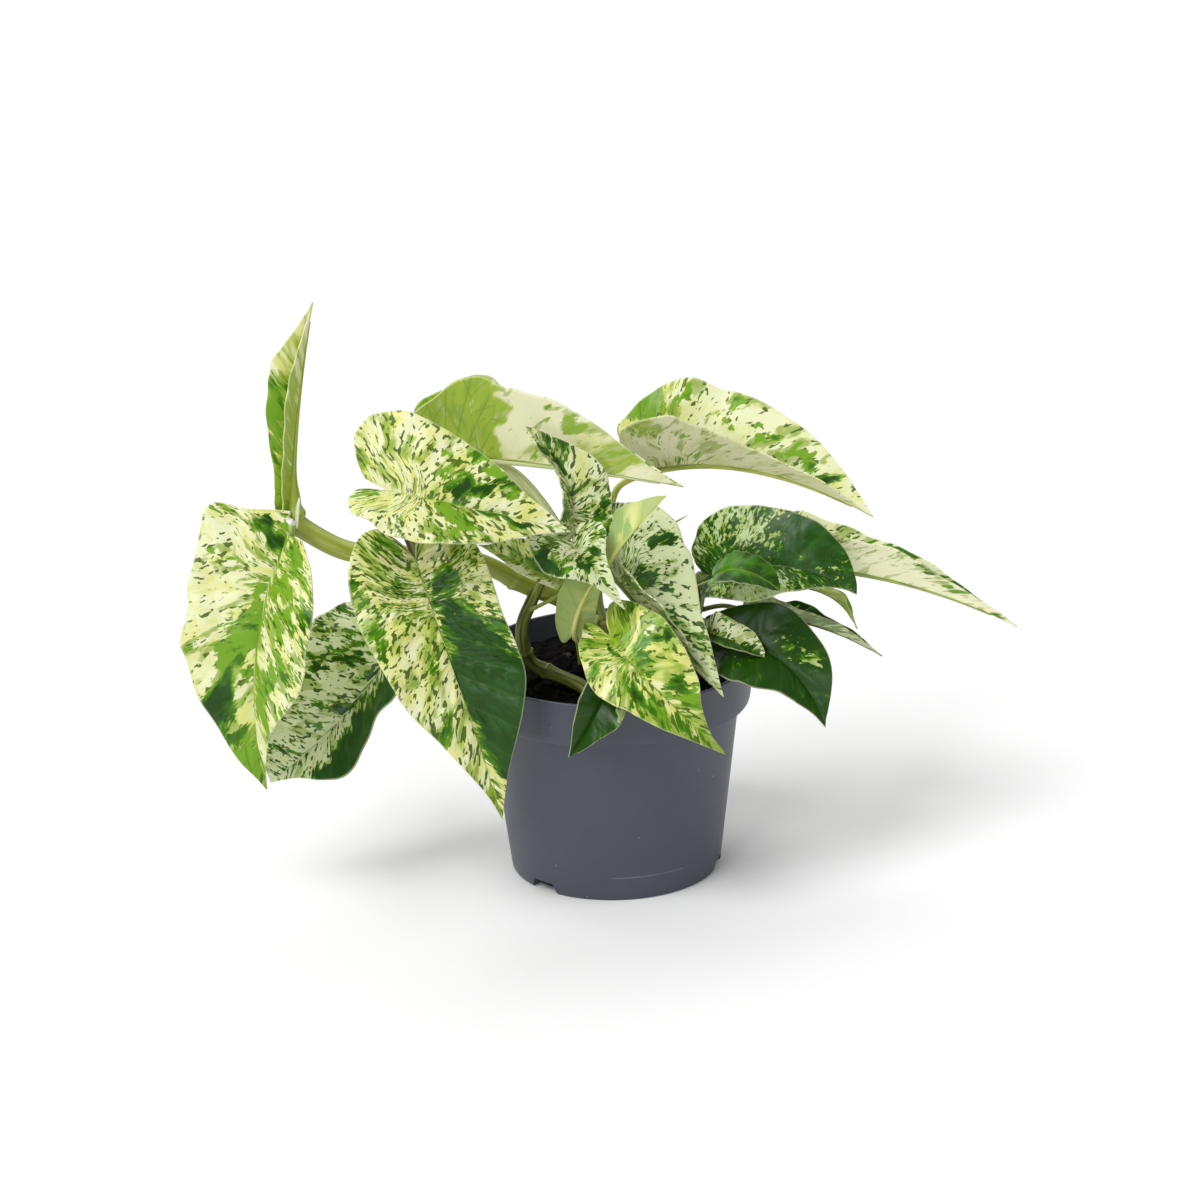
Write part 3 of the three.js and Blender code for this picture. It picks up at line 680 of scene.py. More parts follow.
FRONT_LEFT_RIGHT = (
    (10, -5, 0), (23, -9, 0), (40, -12, 0), (64, -11, 0), (87, -5, 0), (101, 3, 2), (109, 14, 7),
    (103, 24, 12), (92, 37, 23), (79, 49, 34), (52, 63, 49), (26, 78, 67), (9, 90, 85), (0, 100, 100))
UPPER_LEFT_LEFT = (
    (8, -7, 0), (26, -10, 0), (48, -12, 0), (65, -11, 0), (81, -8, 0), (90, -2, 1), (87, 8, 4),
    (80, 20, 9), (73, 31, 18), (63, 43, 28), (50, 55, 40), (39, 64, 50), (27, 74, 62), (17, 84, 75),
    (6, 93, 89), (0, 100, 100))
UPPER_LEFT_RIGHT = (
    (5, -7, 0), (13, -11, 0), (36, -12, 0), (58, -9, 0), (67, -3, 1), (84, 7, 4), (87, 19, 9),
    (85, 33, 20), (73, 48, 33), (53, 62, 47), (29, 77, 66), (14, 88, 82), (0, 100, 100))
TOP_MIDDLE_LEFT = (
    (30, -10, 0), (64, -10, 0), (81, -8, 0), (99, -4, 1), (115, 1, 2), (127, 6, 4), (134, 11, 6),
    (135, 17, 8), (130, 22, 11), (122, 28, 15), (112, 36, 22), (97, 46, 31), (76, 58, 43), (56, 71, 58),
    (30, 85, 77), (10, 94, 91), (0, 100, 100))
TOP_MIDDLE_RIGHT = (
    (20, -9, 0), (45, -11, 0), (68, -5, 0.5), (86, 2, 2), (97, 13, 6), (95, 23, 11), (87, 33, 19),
    (75, 45, 30), (54, 63, 48), (33, 76, 64), (15, 86, 78), (5, 94, 90), (0, 100, 100))
TOP_RIGHT_LEFT = (
    (30, -5, 0), (52, -5, 0), (64, 0, 1), (81, 7, 3), (92, 14, 6), (94, 20, 9), (87, 31, 17),
    (80, 40, 25), (63, 55, 40), (46, 69, 56), (31, 81, 72), (13, 92, 88), (0, 100, 100))
TOP_RIGHT_RIGHT = (
    (28, -6, 0), (70, -8, 0), (95, -5, 0), (103, 3, 2), (101, 12, 6), (91, 19, 8), (79, 25, 13),
    (61, 33, 19), (43, 41, 26), (33, 49, 34), (28, 57, 42), (25, 66, 52), (20, 74, 62), (8, 88, 82),
    (0, 100, 100))
UPRIGHT_MIDDLE_LEFT = (
    (30, -10, 0), (70, -10, 0), (100, 0, 2), (110, 12, 6), (100, 23, 12), (66, 34, 21), (48, 49, 34),
    (41, 66, 52), (38, 82, 74), (20, 94, 91), (0, 100, 100))
UPRIGHT_MIDDLE_RIGHT = (
    (20, -14, 0), (60, -20, 0), (88, -12, 0), (95, 0, 2), (98, 10, 5), (99, 20, 10), (96, 30, 17),
    (92, 40, 25), (82, 51, 36), (62, 62, 48), (38, 75, 63), (20, 87, 80), (8, 95, 93), (0, 100, 100))
MARBLED_MIDDLE_LEFT = (
    (50, -10, 0), (100, -8, 0), (150, 0, 2), (175, 13, 6), (170, 24, 13), (140, 33, 19), (100, 44, 30),
    (68, 60, 46), (33, 79, 70), (12, 92, 89), (0, 100, 100))
MARBLED_MIDDLE_RIGHT = (
    (30, -12, 0), (60, -20, 0), (80, -16, 0), (90, 0, 2), (93, 13, 7), (90, 26, 14), (76, 36, 22),
    (47, 47, 32), (24, 59, 45), (12, 75, 65), (5, 90, 86), (0, 100, 100))
MIDDLE_LEFT_LEFT = (
    (12, -12, 0), (18, 2, 2), (29, 22, 11), (37, 38, 24), (37, 53, 38), (28, 66, 52), (17, 77, 66),
    (5, 92, 88), (0, 100, 100))
YOUNG_LEFT = (
    (25, -5, 0), (60, -10, 0), (95, -7, 1), (100, 6, 4), (82, 20, 12), (52, 33, 22), (28, 45, 35),
    (12, 60, 50), (6, 75, 70), (3, 90, 88), (0, 100, 100))
YOUNG_RIGHT = (
    (35, -6, 0), (80, -10, 0), (120, -7, 0.5), (150, 4, 3), (160, 18, 10), (135, 32, 20), (100, 45, 33),
    (85, 55, 43), (110, 64, 50), (150, 71, 58), (130, 79, 68), (85, 88, 81), (35, 96, 94), (0, 100, 100))
MIDDLE_RIGHT_LEFT = (
    (27, -9, 0), (43, -11, 0), (57, -10, 0), (83, -7, 0), (97, -3, 1), (103, 5, 3), (97, 19, 9),
    (87, 31, 18), (62, 48, 33), (44, 64, 49), (24, 82, 72), (9, 93, 88), (0, 100, 100))
FRONT_MIDDLE_LEFT = (
    (10, -6, 0), (26, -10, 0), (43, -12, 0), (68, -10, 0), (88, -2, 1), (104, 14, 7), (93, 37, 22),
    (70, 55, 40), (34, 69, 56), (10, 84, 76), (4, 94, 90), (0, 100, 100))
FRONT_MIDDLE_RIGHT = (
    (10, -10, 0), (36, -12, 0), (64, -6, 0), (91, -1, 1), (109, 7, 4), (123, 15, 7), (123, 24, 12),
    (113, 33, 19), (98, 40, 25), (70, 57, 42), (38, 75, 63), (17, 88, 82), (0, 100, 100))
SMALL_LEFT = (
    (40, -4, 0), (70, 5, 2), (80, 20, 9), (82, 38, 24), (66, 53, 38), (43, 66, 52), (20, 85, 77),
    (8, 93, 90), (0, 100, 100))
SMALL_RIGHT = (
    (40, -6, 0), (80, -2, 1), (93, 10, 5), (93, 27, 15), (84, 41, 26), (68, 57, 42), (42, 72, 60),
    (13, 90, 84), (0, 100, 100))
MARBLED_RIGHT_LEFT = (
    (10, -7, 0), (30, -12, 0), (55, -12, 0), (80, 0, 2), (99, 14, 7), (103, 30, 17), (102, 40, 25),
    (93, 55, 40), (81, 66, 52), (56, 82, 72), (20, 95, 93), (0, 100, 100))
MARBLED_RIGHT_RIGHT = (
    (12, -10, 0), (32, -12, 0), (51, 1, 2), (74, 22, 11), (79, 43, 28), (56, 60, 45), (24, 77, 65),
    (6, 90, 86), (0, 100, 100))
PLAIN_LEFT = (
    (40, -6, 0), (90, -6, 1), (120, 5, 3), (122, 20, 10), (118, 34, 20), (118, 51, 36), (102, 69, 56),
    (75, 84, 75), (35, 95, 91), (0, 100, 100))
PLAIN_RIGHT = (
    (50, -4, 0), (85, 8, 4), (95, 24, 12), (84, 49, 34), (70, 68, 54), (38, 87, 80), (12, 96, 94),
    (0, 100, 100))
FAR_LEFT = (
    (10, -7, 0), (38, -11, 0), (72, -9, 0), (95, 4, 3), (97, 15, 8), (93, 24, 12), (84, 37, 23),
    (70, 49, 34), (46, 64, 49), (32, 74, 62), (19, 84, 76), (8, 94, 91), (0, 100, 100))
FAR_RIGHT = (
    (10, -7, 0), (38, -11, 0), (72, -9, 0), (98, 4, 3), (108, 15, 8), (106, 24, 12), (92, 35, 22),
    (84, 45, 30), (70, 54, 39), (52, 64, 49), (37, 73, 61), (22, 84, 76), (10, 93, 89), (0, 100, 100))
STRIPED_LEFT = (
    (15, 0, 0), (40, 8, 5), (73, 21, 12), (66, 40, 27), (45, 60, 47), (23, 80, 72), (8, 93, 90),
    (0, 100, 100))
DARK_LEFT = (
    (10, -7, 0), (38, -10, 0), (60, -5, 1), (72, 8, 4), (83, 24, 13), (95, 38, 23), (87, 48, 33),
    (71, 63, 49), (39, 80, 69), (17, 90, 84), (5, 96, 94), (0, 100, 100))
DARK_RIGHT = (
    (10, -7, 0), (36, -5, 0), (70, 2, 2), (95, 14, 7), (112, 29, 16), (102, 45, 30), (71, 58, 43),
    (52, 69, 56), (38, 77, 65), (15, 89, 83), (0, 100, 100))
INNER_LEFT = (
    (30, -5, 0), (60, 0, 1), (85, 12, 6), (97, 26, 13), (96, 52, 37), (69, 75, 63), (36, 92, 88),
    (0, 100, 100))
INNER_RIGHT = (
    (20, -4, 0), (45, 10, 5), (62, 30, 18), (65, 60, 46), (35, 82, 75), (10, 94, 92), (0, 100, 100))


@dataclass(frozen=True)
class Patch:
    """A soft-edged area of a blade that is greener, limier or deeper in tone than the rest. It
    lies along the side veins and ends at the midrib, unless its middle lies on it. All its
    measures are in per cent.

    Attributes:
        across: Middle, in half widths: below 0 on the left half, above 0 on the right.
        along: Middle, in lengths from the base.
        wide: Reach across, in half widths.
        long: Reach along, in lengths.
        green: Added green, below 0 for cream.
        lime: Added yellow-green tinge.
        dark: Added depth of the green.
    """

    across: float
    along: float
    wide: float
    long: float
    green: float = 0
    lime: float = 0
    dark: float = 0


@dataclass(frozen=True)
class Markings:
    """What a leaf's variegation is like all over, in per cent, and where it departs from that."""

    green: float
    lime: float
    dark: float
    fleck: float
    patches: tuple[Patch, ...] = ()


# Side veins, and the rows of points that follow them
VEINS_PER_CM = 1.25
FEWEST_VEINS = 4
ROWS_PER_MM = 1.15
FEWEST_ROWS = 60
# Towards the base the markings narrow, over a share of the length, down to a share of their width,
# about a vein a little way along, and each leaf takes them from its own place in the pattern
VEIN_FAN = 0.2
NARROWEST_FAN = 0.25
FAN_MIDDLE = 0.15
PATTERN_STEP = 40.0
# Along the margin: how many waves and finer ripples there are, and how uneven it is
MARGIN_WAVES = 3.2
RIPPLES = 9.3
RIPPLE_HEIGHT = 0.35
RAGGED_TURNS = (2.3, 4.1, 6.7)
# Over the blade, in millimetres: the channel on the midrib, the cushions and the broad buckles
CHANNEL_DEPTH = 0.45
CHANNEL_REACH = 1.5
CUSHION_LENGTH = 6.5
BUCKLES = 5
BUCKLE_LENGTHS = (13, 34)
# The stalk and midrib of a leaf of full size, in millimetres, and the places that the midrib passes
FULL_SIZE = 90
STALK_RADIUS = 1.9
STALK_TAPER = 0.5
MIDRIB_RADIUS = 1.4
MIDRIB_TAPER = 1.15
MIDRIB_PLACES = (0.0, 0.15, 0.3, 0.45, 0.6, 0.75, 0.9)
# The depth of the stalk's channel, in radii
STALK_GROOVE = 0.3
STALK_POINTS = 90


@dataclass
class Leaf:
    """A leaf: blade, midrib and stalk. The fields are those of the part's source."""

    name: str
    base: Point
    mid: Point
    tip: Point
    face: Point
    half: Pair
    fold: Pair
    curl: Pair
    stalk: tuple[Point, ...]
    marks: Markings
    lobe: Pair = (1.2, 1.2)
    full: Pair = (0.0, 0.0)
    outline: tuple[tuple, tuple] = (HEART, HEART)
    twist: float = 0.0
    thick: float = 1.0
    wave: float = 1.2
    quilt: float = 0.45
    buckle: float = 0.9
    ragged: float = 0.03
    crinkle: float = 0.35
    grain: float = 1.0
    # Whether the underside takes the skin with painted light coming through the blade
    thin: bool = False
    sheath: float = 0.0
    tone: StalkTone = StalkTone.GREEN
    slot: str = "leaf_marbled"
    seed: int = 0
    columns: int = 26
    thickness: float = 0.6

    @property
    def node(self) -> str:
        """The name of the solid that this leaf stands for."""
        return f"leaf_{self.name}"

    def length(self) -> float:
        """The midrib's length in millimetres."""
        return self._spine(np.linspace(0, 1, 200))[2]

    def _spine(self, place: Array) -> tuple[Array, Array, float]:
        """The midrib's curve.

        Args:
            place: Places along it from 0 to 1, by length.

        Returns:
            Points, tangents and the whole length.
        """
        base, mid, tip = (np.array(p, float) for p in (self.base, self.mid, self.tip))
        pull = 2 * mid - (base + tip) / 2
        t = np.linspace(0, 1, 201)[:, None]
        fine = (1 - t) ** 2 * base + 2 * t * (1 - t) * pull + t * t * tip
        run = np.concatenate([[0], np.cumsum(np.linalg.norm(np.diff(fine, axis=0), axis=1))])
        at = np.interp(place * run[-1], run, t[:, 0])[..., None]
        point = (1 - at) ** 2 * base + 2 * at * (1 - at) * pull + at * at * tip
        ahead = unit(2 * (1 - at) * (pull - base) + 2 * at * (tip - pull))
        return point, ahead, run[-1]

    def frame(self, along: Array) -> tuple[Array, Array, Array]:
        """The blade's frame at places along its midrib.

        Args:
            along: Places in lengths from the base, which may be below 0.

        Returns:
            The midrib's point, the way up from it and the way to its right.
        """
        place = np.clip(along, 0, 1)
        centre, ahead, length = self._spine(place)
        face = np.array(self.face, float)
        up = unit(face - (ahead @ face)[..., None] * ahead)
        turn = (np.radians(self.twist) * (place - 0.3))[..., None]
        up = up * np.cos(turn) + np.cross(ahead, up) * np.sin(turn)
        centre = centre + ahead * ((along - place) * length)[..., None]
        return centre, up, np.cross(ahead, up)

    def surface(self, rows: int) -> tuple[Array, dict[str, Array], Array]:
        """Lays the blade's middle surface.

        Args:
            rows: Rows of points along the margin. Each row follows a side vein.

        Returns:
            Points, maps and marks, each rows by columns.
        """
        at = np.linspace(0, 1, rows)
        halves = [self._half(k, side, at) for k, side in ((0, -1), (1, 1))]
        points, veins, ribs, blade, marks = (
            np.concatenate([left[:, ::-1], right[:, 1:]], axis=1) for left, right in zip(*halves))
        return points, {"veins": veins, "ribs": ribs, "blade": blade}, marks

    def _half(self, k: int, side: int, at: Array) -> tuple[Array, ...]:
        """Lays one half of the blade's middle surface, from the midrib to the margin.

        Args:
            k: Which half, 0 for the left one.
            side: -1 for the left half, 1 for the right one.
            at: Places along the margin, one a row.

        Returns:
            Points, the maps "veins", "ribs" and "blade", and marks.
        """
        length = self.length()
        vein_count = max(FEWEST_VEINS, round(VEINS_PER_CM * length / 10))
        edge = spline(np.array(self.outline[k]) / 100, at, 0)
        root = np.clip(edge[:, 2], 0, 1)
        full = 1 + self.full[k] * np.sin(np.pi * np.clip(edge[:, 1], 0, None))
        width = np.clip(edge[:, 0], 0, None) * full * self._ragged(at, k)
        far = edge[:, 1] * np.where(edge[:, 1] < 0, self.lobe[k], 1)
        r = np.linspace(0, 1, self.columns + 1)
        along = root[:, None] + (far - root)[:, None] * r
        across = width[:, None] * r
        off = across * self.half[k]
        fold, curl = math.radians(self.fold[k]), math.radians(self.curl[k])
        bend = fold - curl * across
        out = self.half[k] / curl * (math.sin(fold) - np.sin(bend))
        rise = self.half[k] / curl * (np.cos(bend) - math.cos(fold))
        wave = np.sin(ROUND_TURN * (MARGIN_WAVES * at + 0.3 * k))
        ripple = np.sin(ROUND_TURN * (RIPPLES * at + 0.17 * self.seed))
        rise += self.wave * r**2 * (width * wave)[:, None]
        rise += RIPPLE_HEIGHT * r**3 * (width * ripple)[:, None]
        rise += self._relief(at, r, vein_count, off)
        rise += self.buckle * across * self._buckles(side * off, along * length)
        centre, up, right = self.frame(along)
        points = centre + side * out[..., None] * right + rise[..., None] * up
        shift = PATTERN_STEP * self.seed
        from_base = np.hypot(off, along * length)
        spread = np.clip(from_base / (VEIN_FAN * length), NARROWEST_FAN, 1)
        middle = FAN_MIDDLE * vein_count
        vein = at[:, None] * vein_count
        veins = stacked((middle + (vein - middle) * spread) * self.grain + shift,
                        side * off / 10 * self.grain + shift)
        return (points, veins, stacked(vein, from_base), stacked(r[None, :], off),
                self._marks(side * across, along))

    def _relief(self, at: Array, r: Array, vein_count: int, off: Array) -> Array:
        """The quilting between the side veins and the channel over the midrib.

        Args:
            at: Each row's place along the margin.
            r: Each column's place from the midrib to the margin.
            vein_count: How many side veins the half has.
            off: Distance from the midrib in millimetres.

        Returns:
            Height in millimetres.
        """
        # Each vein lies in a fold between two swells, which die out at the base and the tip
        swell = np.abs(np.sin(np.pi * vein_count * at)) ** 0.7
        ends = smooth(0.03, 0.15, at) * smooth(1.0, 0.8, at)
        bed = np.sin(np.pi * np.clip(r, 0, 1) ** 0.8)
        channel = -CHANNEL_DEPTH * np.exp(-(off / CHANNEL_REACH) ** 2) * smooth(1.0, 0.6, at)[:, None]
        drift = 2.4 * np.sin(1.7 * vein_count * at + self.seed)
        cushions = 1 + self.crinkle * np.sin(ROUND_TURN * (off / CUSHION_LENGTH + drift[:, None]))
        return self.quilt * (((swell * ends)[:, None] * cushions) - 0.5 * ends[:, None]) * bed + channel

    def _ragged(self, at: Array, k: int) -> Array:
        """The slight unevenness of a margin.

        Args:
            at: Places along the margin.
            k: Which half, 0 for the left one.

        Returns:
            Factors for the width.
        """
        draw = np.random.default_rng(100 + 2 * self.seed + k)
        shape = np.zeros(at.shape)
        for turns in RAGGED_TURNS:
            shape += np.sin(ROUND_TURN * (turns * at + draw.random())) / turns
        return 1 + self.ragged * shape * smooth(0.0, 0.15, at)

    def _buckles(self, across: Array, along: Array) -> Array:
        """The uneven swells of a grown blade.

        Args:
            across: Signed distance from the midrib in millimetres.
            along: Distance from the base in millimetres.

        Returns:
            Heights between about -1 and 1.
        """
        draw = np.random.default_rng(self.seed)
        height = np.zeros(across.shape)
        for _ in range(BUCKLES):
            turn, length = draw.uniform(0, np.pi), draw.uniform(*BUCKLE_LENGTHS)
            place = (across * np.cos(turn) + along * np.sin(turn)) / length
            height += 0.45 * np.sin(ROUND_TURN * (place + draw.random()))
        return height

    def _marks(self, across: Array, along: Array) -> Array:
        """The four marks of each point: green, lime, dark and fleck.

        Args:
            across: Signed place in half widths.
            along: Place in lengths.

        Returns:
            The marks, with green moved from -1..1 to 0..1.
        """
        turns = np.random.default_rng(700 + self.seed).uniform(0, ROUND_TURN, 4)
        # The edges of all areas sway, in half widths across and in lengths along
        aside = (0.06 * np.sin(19 * along + 5 * across + turns[0])
                 + 0.035 * np.sin(43 * along - 9 * across + turns[1]))
        ahead = (0.02 * np.sin(11 * across + 6 * along + turns[2])
                 + 0.012 * np.sin(27 * across + 13 * along + turns[3]))
        everywhere = self.marks
        green, lime, dark, fleck = (np.full(across.shape, value / 100) for value in (
            everywhere.green, everywhere.lime, everywhere.dark, everywhere.fleck))
        for patch in everywhere.patches:
            x, y, wide, long, greener, limier, darker = np.array(astuple(patch)) / 100
            # An area leans as the side veins do there: backwards in the lobes, forwards beyond them
            lean = np.interp(y, (-0.1, 0.25), (-0.15, 0.18))
            off = along - y - lean * (np.abs(across) - abs(x))
            away = np.hypot((across - x + aside) / wide, (off + ahead) / long)
            inside = smooth(1.45, 0.35, away) * (across * x >= 0)
            green += greener * inside
            lime += limier * inside
            dark += darker * inside
        return stacked(green * 0.5 + 0.5, np.clip(lime, 0, 1), np.clip(dark, 0, 1), fleck)

    def build_blade(self) -> Object:
        """Makes the blade and dresses both its sides."""
        rows = max(FEWEST_ROWS, int(self.length() * ROWS_PER_MM))
        places, maps, marks = self.surface(rows)
        piece = Grid(f"{self.name}_blade", places, maps, marks).build(closed=False)
        piece.data.materials.append(bpy.data.materials[UPPER_SKIN.name])
        # Thin blades get the underside whose brighter colours are painted light coming through
        under = BACKLIT_SKIN if self.thin else UNDER_SKIN
        piece.data.materials.append(bpy.data.materials[under.name])
        apply_modifier(piece, "SOLIDIFY", {
            "thickness": self.thickness * MM, "offset": 0.0, "use_rim": True,
            "material_offset": 1, "material_offset_rim": 0})
        return finish_piece(piece, None, self.slot, self.node)

    def build_stalk(self) -> Object:
        """Makes the stalk, channelled on its upper side, and the midrib that it runs on into."""
        reach = np.array(MIDRIB_PLACES)
        centre, up, _ = self.frame(reach)
        size = min(1.0, self.length() / FULL_SIZE)
        sunk = 0.3 + size * np.linspace(1.4, 0.25, len(reach))
        points = np.vstack([np.array(self.stalk, float), centre - up * sunk[:, None]])
        stalk_share = self._share(points, len(self.stalk))
        path = even_path(points, STALK_POINTS)
        at = np.linspace(0, 1, len(path))
        on_stalk = at < stalk_share
        stalk_at = np.clip(at / stalk_share, 0, 1)
        rib_at = np.clip((at - stalk_share) / (1 - stalk_share), 0, 1)
        swell = 1 + (self.thick - 1) * np.sin(np.pi * stalk_at) ** 2
        radius = np.where(on_stalk, (STALK_RADIUS - STALK_TAPER * stalk_at) * swell,
                          MIDRIB_RADIUS - MIDRIB_TAPER * rib_at)
        radius = radius + self.sheath * np.exp(-((at - stalk_share) / 0.1) ** 2)
        groove = STALK_GROOVE * np.where(on_stalk, 1.0, 1 - rib_at) * smooth(0.0, 0.1, at)
        piece = Limb(f"{self.name}_stalk", path, radius * size, tuple(up[0]), groove=groove,
                     reverse_frame=True).build()
        return finish_piece(piece, self.tone.value.material(), "stem", self.node)

    @staticmethod
    def _share(points: Array, count: int) -> float:
        """The share of a path's length that its first stretches have."""
        run = np.cumsum(np.linalg.norm(np.diff(points, axis=0), axis=1))
        return float(run[count - 1] / run[-1])


# A limb's rounded end, in radii, and the half angle of its channel
END_REACH = 0.6
END_SHOULDER = 0.4
END_WIDTH = 0.7
CHANNEL_ANGLE = 0.55


@dataclass
class Limb:
    """A tapered round limb along a path, with rounded ends.

    Attributes:
        name: The piece's name.
        path: Points of the middle line in millimetres.
        radius: Radius at each point.
        upwards: The way that the channel faces.
        sides: Points around it.
        groove: Depth of the channel at each point, as a share of the radius.
        ridges: Number of low ridges around it.
        ridge: Height of the ridges, as a share of the radius.
        reverse_frame: Whether upwards is meant at the far end.
    """

    name: str
    path: Array
    radius: Array
    upwards: Point
    sides: int = 16
    groove: Array | float = 0.0
    ridges: int = 0
    ridge: float = 0.0
    reverse_frame: bool = False

    def build(self) -> Object:
        """Lays a grid round the path and closes it."""
        path, radius = self.path, np.asarray(self.radius, float)
        groove = np.broadcast_to(np.asarray(self.groove, float), radius.shape)
        ahead = unit(np.gradient(path, axis=0))
        first, last = -ahead[0] * radius[0], ahead[-1] * radius[-1]
        path = np.vstack([path[0] + first * END_REACH, path[0] + first * END_SHOULDER, path,
                          path[-1] + last * END_SHOULDER, path[-1] + last * END_REACH])
        radius = np.concatenate([[0, radius[0] * END_WIDTH], radius, [radius[-1] * END_WIDTH, 0]])
        groove = np.concatenate([[0, 0], groove, [0, 0]])
        ahead = np.vstack([ahead[:1], ahead[:1], ahead, ahead[-1:], ahead[-1:]])
        across = self._carried(ahead)
        aside = np.cross(ahead, across)
        turn = np.linspace(0, ROUND_TURN, self.sides + 1)
        shape = 1 + self.ridge * np.cos(self.ridges * turn)
        dip = np.exp(-((np.minimum(turn, ROUND_TURN - turn) / CHANNEL_ANGLE) ** 2))
        length = radius[:, None] * (shape - groove[:, None] * dip)
        places = (path[:, None] + length[..., None] * (
            across[:, None] * np.cos(turn)[None, :, None]
            + aside[:, None] * np.sin(turn)[None, :, None]))
        run = np.concatenate([[0], np.cumsum(np.linalg.norm(np.diff(path, axis=0), axis=1))])
        girth = ROUND_TURN * radius.max() / 10
        skin = stacked(np.linspace(0, girth, self.sides + 1)[None, :], run[:, None] / 10)
        return Grid(self.name, places, {"skin": skin}).build(closed=True)

    def _carried(self, ahead: Array) -> Array:
        """The direction across the limb, carried along it without turning about it.

        Args:
            ahead: The limb's direction at each point.

        Returns:
            A direction at right angles to each.
        """
        order = range(len(ahead) - 1, -1, -1) if self.reverse_frame else range(len(ahead))
        across = np.empty_like(ahead)
        current = np.array(self.upwards, float)
        for i in order:
            current = current - (current @ ahead[i]) * ahead[i]
            current = current / np.linalg.norm(current)
            across[i] = current
        return across


# The stems


# How many points the middle lines have
STEM_POINTS = 220
NEW_LEAF_POINTS = 60
TRACE_POINTS = 24
# Shapes along a stem, as height, reach and place past the middle of each node
NODE_SHAPES = ((0.7, 3.5, 0.0), (0.35, 0.7, 0.0), (-0.3, 0.6, 1.5))


@dataclass
class Stem:
    """A stem with its nodes. The fields are those of the part's source."""

    name: str
    path: tuple[Point, ...]
    radius: Pair
    nodes: tuple[float, ...]
    skin: StemSkin
    shoot: tuple[Point, ...] = ()
    ridge: float = 0.018

    def build(self) -> Object:
        """Makes the stem with low ridges, swollen nodes and the scar that rings each."""
        path = even_path(np.array(self.path, float), STEM_POINTS)
        at = np.linspace(0, 1, len(path))
        radius = self.radius[0] + (self.radius[1] - self.radius[0]) * at
        length = np.linalg.norm(np.diff(path, axis=0), axis=1).sum()
        for node in self.nodes:
            off = (at - node) * length
            for height, reach, past in NODE_SHAPES:
                radius = radius + height * np.exp(-((off - past) / reach) ** 2)
        piece = Limb(self.name, path, radius, (0.31, 0.93, 0.2), 36, ridges=5,
                     ridge=self.ridge).build()
        return finish_piece(piece, self.skin.material(), "stem", self.name)

    def build_shoot(self) -> Object:
        """Makes the rolled new leaf at the stem's top."""
        path = even_path(np.array(self.shoot, float), NEW_LEAF_POINTS)
        at = np.linspace(0, 1, len(path))
        piece = Limb(f"{self.name}_new_leaf", path, 1.6 - 1.45 * at**2, (0, 0, 1), 14,
                     ridges=1, ridge=0.12).build()
        return finish_piece(piece, StalkTone.PALE.value.material(), "stem")


@dataclass(frozen=True)
class NodeTrace:
    """A small thing at the runner's last node: a bead of dried sap or a dry sheath's tip."""

    name: str
    path: tuple[Point, ...]
    radius: float
    skin: StemSkin

    def build(self) -> Object:
        """Makes it as a rounded limb that is widest in its middle."""
        path = even_path(np.array(self.path, float), TRACE_POINTS)
        at = np.linspace(-1, 1, len(path))
        piece = Limb(self.name, path, self.radius * np.sqrt(1.05 - at**2), (0, -1, 0.1), 14).build()
        return finish_piece(piece, self.skin.material(), "stem")


NODE_TRACES = (
    NodeTrace("left_sap_bead", ((-130.6, -38, 169), (-130, -38, 170), (-129.4, -38, 171)), 2.2,
              StemSkin("dried_sap_skin", "#dcdcd6", "#efefea", "#c4c4ba", roughness=0.55)),
    NodeTrace("left_dry_sheath", ((-127.8, -35, 166), (-127.4, -34.5, 172), (-126.3, -34, 179)), 0.9,
              StemSkin("dry_sheath_skin", "#cdd2ae", "#dfe2c8", "#b4bc88", roughness=0.6)),
)


# The pot and the potting mix


